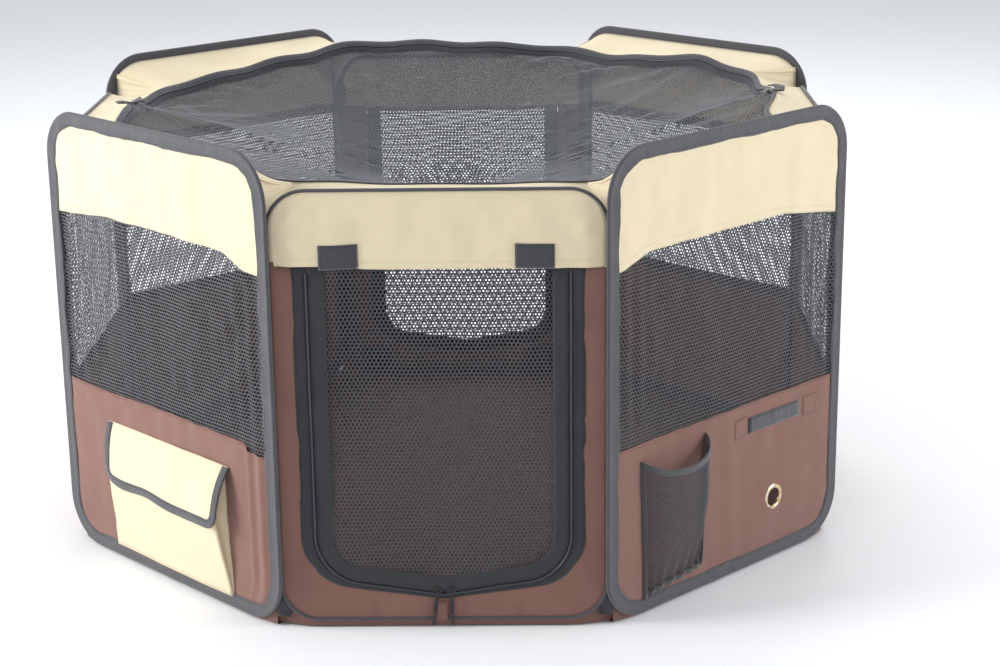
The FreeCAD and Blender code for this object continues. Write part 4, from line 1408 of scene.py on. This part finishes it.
def ring_line(turn, inset=0.0, lift=0.0):
    """Points of the cover's ring at angles; the corners are eased and the line is wavy."""
    turn = np.asarray(turn, float)
    steps = np.linspace(-0.10, 0.10, 9)
    reach = np.mean([octagon_reach(turn + step, RING_APOTHEM) for step in steps], axis=0)
    wave = 0.0042 * np.sin(11 * turn + 0.6) + 0.0026 * np.sin(19 * turn + 2.0)
    calm = 1 - 0.75 * np.exp(-wrap(turn + math.pi / 2) ** 2 / 0.18)
    tips = sum(np.exp(-(wrap(turn - tip) / 0.07) ** 2) for tip in TIP_TURNS)
    reach = reach + wave * calm + 0.009 * tips - inset
    x, y = reach * np.cos(turn), reach * np.sin(turn)
    rise = np.mean([np.interp(wrap(turn + step), RING_TURNS, RING_RISES) for step in steps], axis=0)
    ripple_up = 0.0020 * np.sin(23 * turn) * calm
    return np.stack([x, y, rise + ripple_up + lift], axis=-1)


def ring_tilt(turn):
    """The zip tape hangs steeply, but lies flat where it turns at its two ends."""
    flat = sum(np.exp(-(wrap(turn - tip) / 0.085) ** 2) for tip in TIP_TURNS)
    return np.radians(66 - 54 * np.clip(flat, 0, 1))


def on_ring_tape(turn, down, lift=0.0):
    """Points on the cover's zip tape, which hangs down and in from the ring's line."""
    cosine, sine = np.cos(ring_tilt(turn)), np.sin(ring_tilt(turn))
    return ring_line(turn, inset=down * cosine + lift * sine, lift=lift * cosine - down * sine)


NET_SEAM = RING_TAPE - 0.003         # the net is sewn on this far down the tape
print("ring apothem", round(RING_APOTHEM, 4), "rise", min(RING_RISES), "to", max(RING_RISES))

# %% [markdown]
# The collar is the sand cloth that slopes from the walls to the ring. Where a low wall
# meets a tall one its outer edge climbs up the seam, so each of its eight pieces is a ruled
# grid from that stepped line to the ring. Each piece folds away with its own wall.
# %% Collar
def collar_outer(wall, across):
    """Where the collar is sewn to the wall: just inside the wall's top outline."""
    half, _, top, radius = WALL_SIZE[wall]
    over = np.clip(np.abs(across) - (half - radius), 0, radius)
    rise = top - radius + np.sqrt(np.maximum(radius ** 2 - over ** 2, 0))
    if is_bound(wall):
        return place(wall, np.column_stack([across, np.full(len(across), -0.0042), rise - 0.012]))
    points = place(wall, np.column_stack([across, np.full(len(across), -0.0032), rise - 0.003]))
    past = np.abs(across) >= SIDE / 2 - 0.0005
    points[past, 2] = WALL_SIZE["front_left"][2] - 0.026
    return points


def collar(wall):
    limit = SIDE / 2
    inner_part = np.linspace(-1, 1, 61) * (limit - 0.003)
    across = np.concatenate([[-limit], inner_part, [limit]])
    outer = collar_outer(wall, across)
    facing = math.radians(FACING[wall])
    turn = wrap(facing + across / limit * math.pi / 8)
    inner = ring_line(turn, inset=-0.0004, lift=-0.0004)
    rows = 12
    t = np.linspace(0, 1, rows)[:, None, None]
    points = outer * (1 - t) + inner * t
    swell = np.sin(math.pi * t[..., 0])
    points[..., 2] += swell * (0.0022 * np.sin(across * 33 + FACING[wall]) - 0.0030)
    cut = np.column_stack([np.tile(across, rows), np.repeat(t.ravel() * 0.075, len(across))])
    piece = make_piece(wall + "_collar", points, grid_quads(rows, len(across)), SAND_CLOTH, wall + "_wall",
                       ["collar"], cut=cut)
    thicken(piece, CLOTH_THICK)
    fold_flat(piece)
    deep = float(np.linalg.norm(points[-1] - points[0], axis=1).mean())
    return deep


depths = {wall: collar(wall) for wall in FACING}
print("collar depth, mm:", {wall: round(deep * 1000) for wall, deep in depths.items()})

# %% [markdown]
# The cover's net is cut a little larger than the ring, so it sags and wrinkles. A round
# grid pinned at the ring is draped by cloth simulation, and its heights become a field
# that the knitted net is laid on, in eight gores.
# %% Drape the cover
RADIAL, AROUND = 27, 112
COVER_FRAMES = 30
COVER_SLACK = 0.008
COVER_SHARE = 0.58
COVER_CROWN = 0.0006
COVER_INNER = 0.02           # the round grid starts this share of the way out, not at a point


def drape_cover():
    """The cover's points, as rows from the middle to the ring by columns of angle."""
    turn = np.linspace(-math.pi, math.pi, AROUND, endpoint=False)
    edge = on_ring_tape(turn, NET_SEAM)
    share = np.linspace(COVER_INNER, 1, RADIAL)[:, None, None]
    middle = np.array([0, 0, edge[:, 2].mean() - 0.030])
    flat = middle + (edge - middle) * share
    flat[..., 2] = edge[:, 2].mean() + (edge[:, 2] - edge[:, 2].mean()) * share[..., 0]
    flat[..., 2] += chance.normal(0, 0.0012, flat.shape[:2]) * (share[..., 0] < 0.99)
    held = np.arange((RADIAL - 1) * AROUND, RADIAL * AROUND)
    sheet = hung_sheet("draping_cover", flat.reshape(-1, 3), grid_quads(RADIAL, AROUND, wrap_cols=True), held)
    spots = run_cloth(sheet, COVER_FRAMES, COVER_SLACK, mass=0.12, bending=0.05)
    return spots.reshape(RADIAL, AROUND, 3)


DRAPED = drape_cover()
print("cover sags to", round(float(DRAPED[..., 2].min()), 3))


def on_cover(x, y, lift):
    """Points of the draped cover above flat (x, y)."""
    turn = np.arctan2(y, x)
    edge = np.linalg.norm(on_ring_tape(turn, NET_SEAM)[..., :2], axis=-1)
    share = np.clip(np.hypot(x, y) / edge, COVER_INNER, 1)
    r = np.clip((share - COVER_INNER) / (1 - COVER_INNER) * (RADIAL - 1), 0, RADIAL - 1.0001)
    c = (turn + math.pi) / (2 * math.pi) * AROUND
    r0, c0 = r.astype(int), c.astype(int) % AROUND
    c1 = (c0 + 1) % AROUND
    rf, cf = (r - r0)[:, None], (c - np.floor(c))[:, None]
    spots = ((DRAPED[r0, c0] * (1 - cf) + DRAPED[r0, c1] * cf) * (1 - rf)
             + (DRAPED[r0 + 1, c0] * (1 - cf) + DRAPED[r0 + 1, c1] * cf) * rf)
    spots[:, 2] += lift
    return spots


# %% [markdown]
# The zip round the ring is a doubled tape with a coil between. It is a section carried
# along the ring's line. At the left and right ends a short stub of spare tape bows up and out.
# %% The cover's zip and net
RING_SECTION = ((-0.0020, -0.0007), (-0.0020, 0.0009), (0.0040, 0.0011), (0.0070, 0.0020), (0.0100, 0.0011),
                (RING_TAPE, 0.0008), (RING_TAPE, -0.0007), (0.0070, -0.0010))        # down, and out
RING_STEPS = 480
COIL_DOWN = 0.0070           # how far down the tape its coil runs
UP = (0.0, 0.0, 1.0)


def cover_piece(name, parts, finish, stands_for=(), smooth=True):
    points, faces, cut = parts
    return make_piece(name, points, faces, finish, "top_cover", stands_for, cut, smooth)


def cover_zip():
    turn = np.linspace(-math.pi, math.pi, RING_STEPS, endpoint=False)
    path = ring_line(turn)
    inward = -path / np.linalg.norm(path[:, :2], axis=1, keepdims=True)
    inward[:, 2] = 0.0
    profile = np.repeat(np.array(RING_SECTION)[None], RING_STEPS, axis=0)
    profile[..., 1] += (profile[..., 0] > 0.012) * (0.0012 * np.sin(29 * turn))[:, None]
    cosine, sine = np.cos(ring_tilt(turn)), np.sin(ring_tilt(turn))
    turned = np.stack([np.stack([cosine, -sine], axis=-1), np.stack([sine, cosine], axis=-1)], axis=1)
    tape = sweep(path, inward, np.tile(UP, (RING_STEPS, 1)), profile @ turned)
    middle = on_ring_tape(turn, COIL_DOWN, 0.0016)
    line = even_steps(np.concatenate([middle, middle[:1]]), 0.0008)
    size = np.where(np.arange(len(line)) % 2, 1.0, 0.7)[:, None, None]
    coil = sweep(line, np.cross(heading(line), UP), np.tile(UP, (len(line), 1)),
                 disc_profile(0.0016, 6)[None] * size, closed=False)
    return [cover_piece("cover_zip_tape", tape, COVER_TAPE, ["cover_tape"]),
            cover_piece("cover_zip_coil", coil, COIL)]


def cover_end(label, turn):
    """The end of the zip: its slider on the coil, a short pull, and a stub of spare tape."""
    outward, up = np.array([math.cos(turn), math.sin(turn), 0]), np.array(UP)
    along = np.cross(up, outward)
    tilt = float(ring_tilt(turn))
    down = -outward * math.cos(tilt) - up * math.sin(tilt)
    face = -outward * math.sin(tilt) + up * math.cos(tilt)
    base = on_ring_tape(np.array([turn]), COIL_DOWN, 0.0040)[0]
    parts = []
    for shape, hole, thick, lift, lean in (
            (long_round(0.0042, -0.0065, 0.0065), long_round(0.0009, -0.0014, 0.0014), 0.0030, 0.0, 0.0),
            (long_round(0.0020, -0.0170, 0.0), long_round(0.0009, -0.0150, -0.0100), 0.0010, 0.0022, 0.9)):
        plate, faces = outline_plate(shape, hole, thick)
        run = along * math.cos(lean) - down * math.sin(lean)
        wide = down * math.cos(lean) + along * math.sin(lean)
        parts.append((base + face * lift + plate[:, :1] * wide + plate[:, 2:] * run + plate[:, 1:2] * face,
                      faces.tolist(), plate[:, ::2]))
    slider = cover_piece(f"cover_zip_slider_{label}", merge(parts), ZIP_METAL, smooth=False)
    stub_turn = turn + np.linspace(0.0, 0.055, 12)
    path = ring_line(stub_turn) + outward * (0.006 + 0.004 * np.sin(np.linspace(0, 3, 12)))[:, None]
    path[:, 2] += 0.0015 + 0.0035 * np.sin(np.linspace(0, 2.4, 12))
    section = np.array([(-0.0075, -0.0010), (0.0075, -0.0010), (0.0075, 0.0006), (0.0, 0.0020),
                        (-0.0075, 0.0006)])
    stub = sweep(path, np.tile(outward, (12, 1)), np.tile(UP, (12, 1)), section, closed=False)
    return [slider, cover_piece(f"cover_zip_end_{label}", stub, COVER_TAPE)]


cover_pieces = cover_zip() + cover_end("left", TIP_TURNS[0]) + cover_end("right", TIP_TURNS[1])


def gore(number):
    """One eighth of the cover's net."""
    centre = wrap(math.radians(45 * number))
    reach = RING_APOTHEM * 1.12

    def keep(x, y):
        turn = np.arctan2(y, x)
        edge = np.linalg.norm(on_ring_tape(turn, NET_SEAM - 0.002)[..., :2], axis=-1)
        return (np.abs(wrap(turn - centre)) <= math.pi / 8) & (np.hypot(x, y) < edge)

    flat, quads, is_inner = knit((-reach, -reach), (reach, reach), keep, share=COVER_SHARE)
    points = on_cover(flat[:, 0], flat[:, 1], -COVER_CROWN * is_inner)
    piece = net_piece(f"cover_net_gore_{number + 1}", points, quads, SKYLIT_COVER_YARN, "top_cover", "cover_net",
                      flat)
    return piece


gores = [gore(number) for number in range(8)]
for piece in cover_pieces + gores:
    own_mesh(piece)
print("cover cells:", sum(len(piece.data.polygons) for piece in gores) // 6)

# %% [markdown]
# The floor is one octagon of coated brown cloth. It lies in eight wedges here, because
# the real one creases from its middle when the walls fold. Each wedge turns up at its
# wall and is sewn behind the wall's edge.
# %% Floor sheet
def floor_wedge(wall, number):
    rows, cols = 22, 41
    half, foot, _, radius = WALL_SIZE[wall]
    t = np.linspace(0, 1, rows)
    out = np.concatenate([-APOTHEM + (APOTHEM - 0.007) * t[:-3], [-0.0030, 0.0002, -0.0012]])
    wrinkle = 0.0016 * np.clip(np.sin(math.pi * t), 0, 1)
    rise = np.concatenate([np.full(rows - 3, 0.0009), [0.0010, 0.0030, foot + 0.004]])
    s = np.linspace(-1, 1, cols)
    wide = np.tan(math.pi / 8) * (APOTHEM + np.minimum(out, -0.004))
    wide[-1] = wide[-2] = wide[-3]
    across = np.outer(wide, s)
    hills = np.abs(np.sin(across * 21 + number) * np.sin(np.outer(out, np.ones(cols)) * 17 + 2 * number))
    up = rise[:, None] + wrinkle[:, None] * hills * (t < 0.85)[:, None]
    corner = np.clip((np.abs(across) - (half - radius)) / radius, 0, 1)
    up[-1] = up[-1] + radius - np.sqrt(np.maximum(1 - corner[-1] ** 2, 0)) * radius
    deep = out[:, None] - 0.013 * corner ** 2 * np.clip(t * 8 - 6, 0, 1)[:, None]
    points = place(wall, np.stack([across, deep, up], axis=-1))
    cut = np.stack([across, deep], axis=-1).reshape(-1, 2)
    piece = make_piece(wall + "_floor_wedge", points, grid_quads(rows, cols), FLOOR_CLOTH, wall + "_wall",
                       ["floor_sheet"], cut=cut)
    fold_flat(piece)
    return piece


for number, wall in enumerate(FACING):
    floor_wedge(wall, number)
print("floor wedges:", len(FACING))

# %% [markdown]
# The floor is staged, so it isn't part of the pen.
# %% Floor
floor = bpy.data.objects.new("floor", bpy.data.meshes.new("floor"))
floor.data.from_pydata([(-30, -30, 0), (30, -30, 0), (30, 30, 0), (-30, 30, 0)], [], [(0, 1, 2, 3)])
floor.location.z = -0.0005
floor.data.materials.append(PAPER)
bpy.context.scene.collection.objects.link(floor)
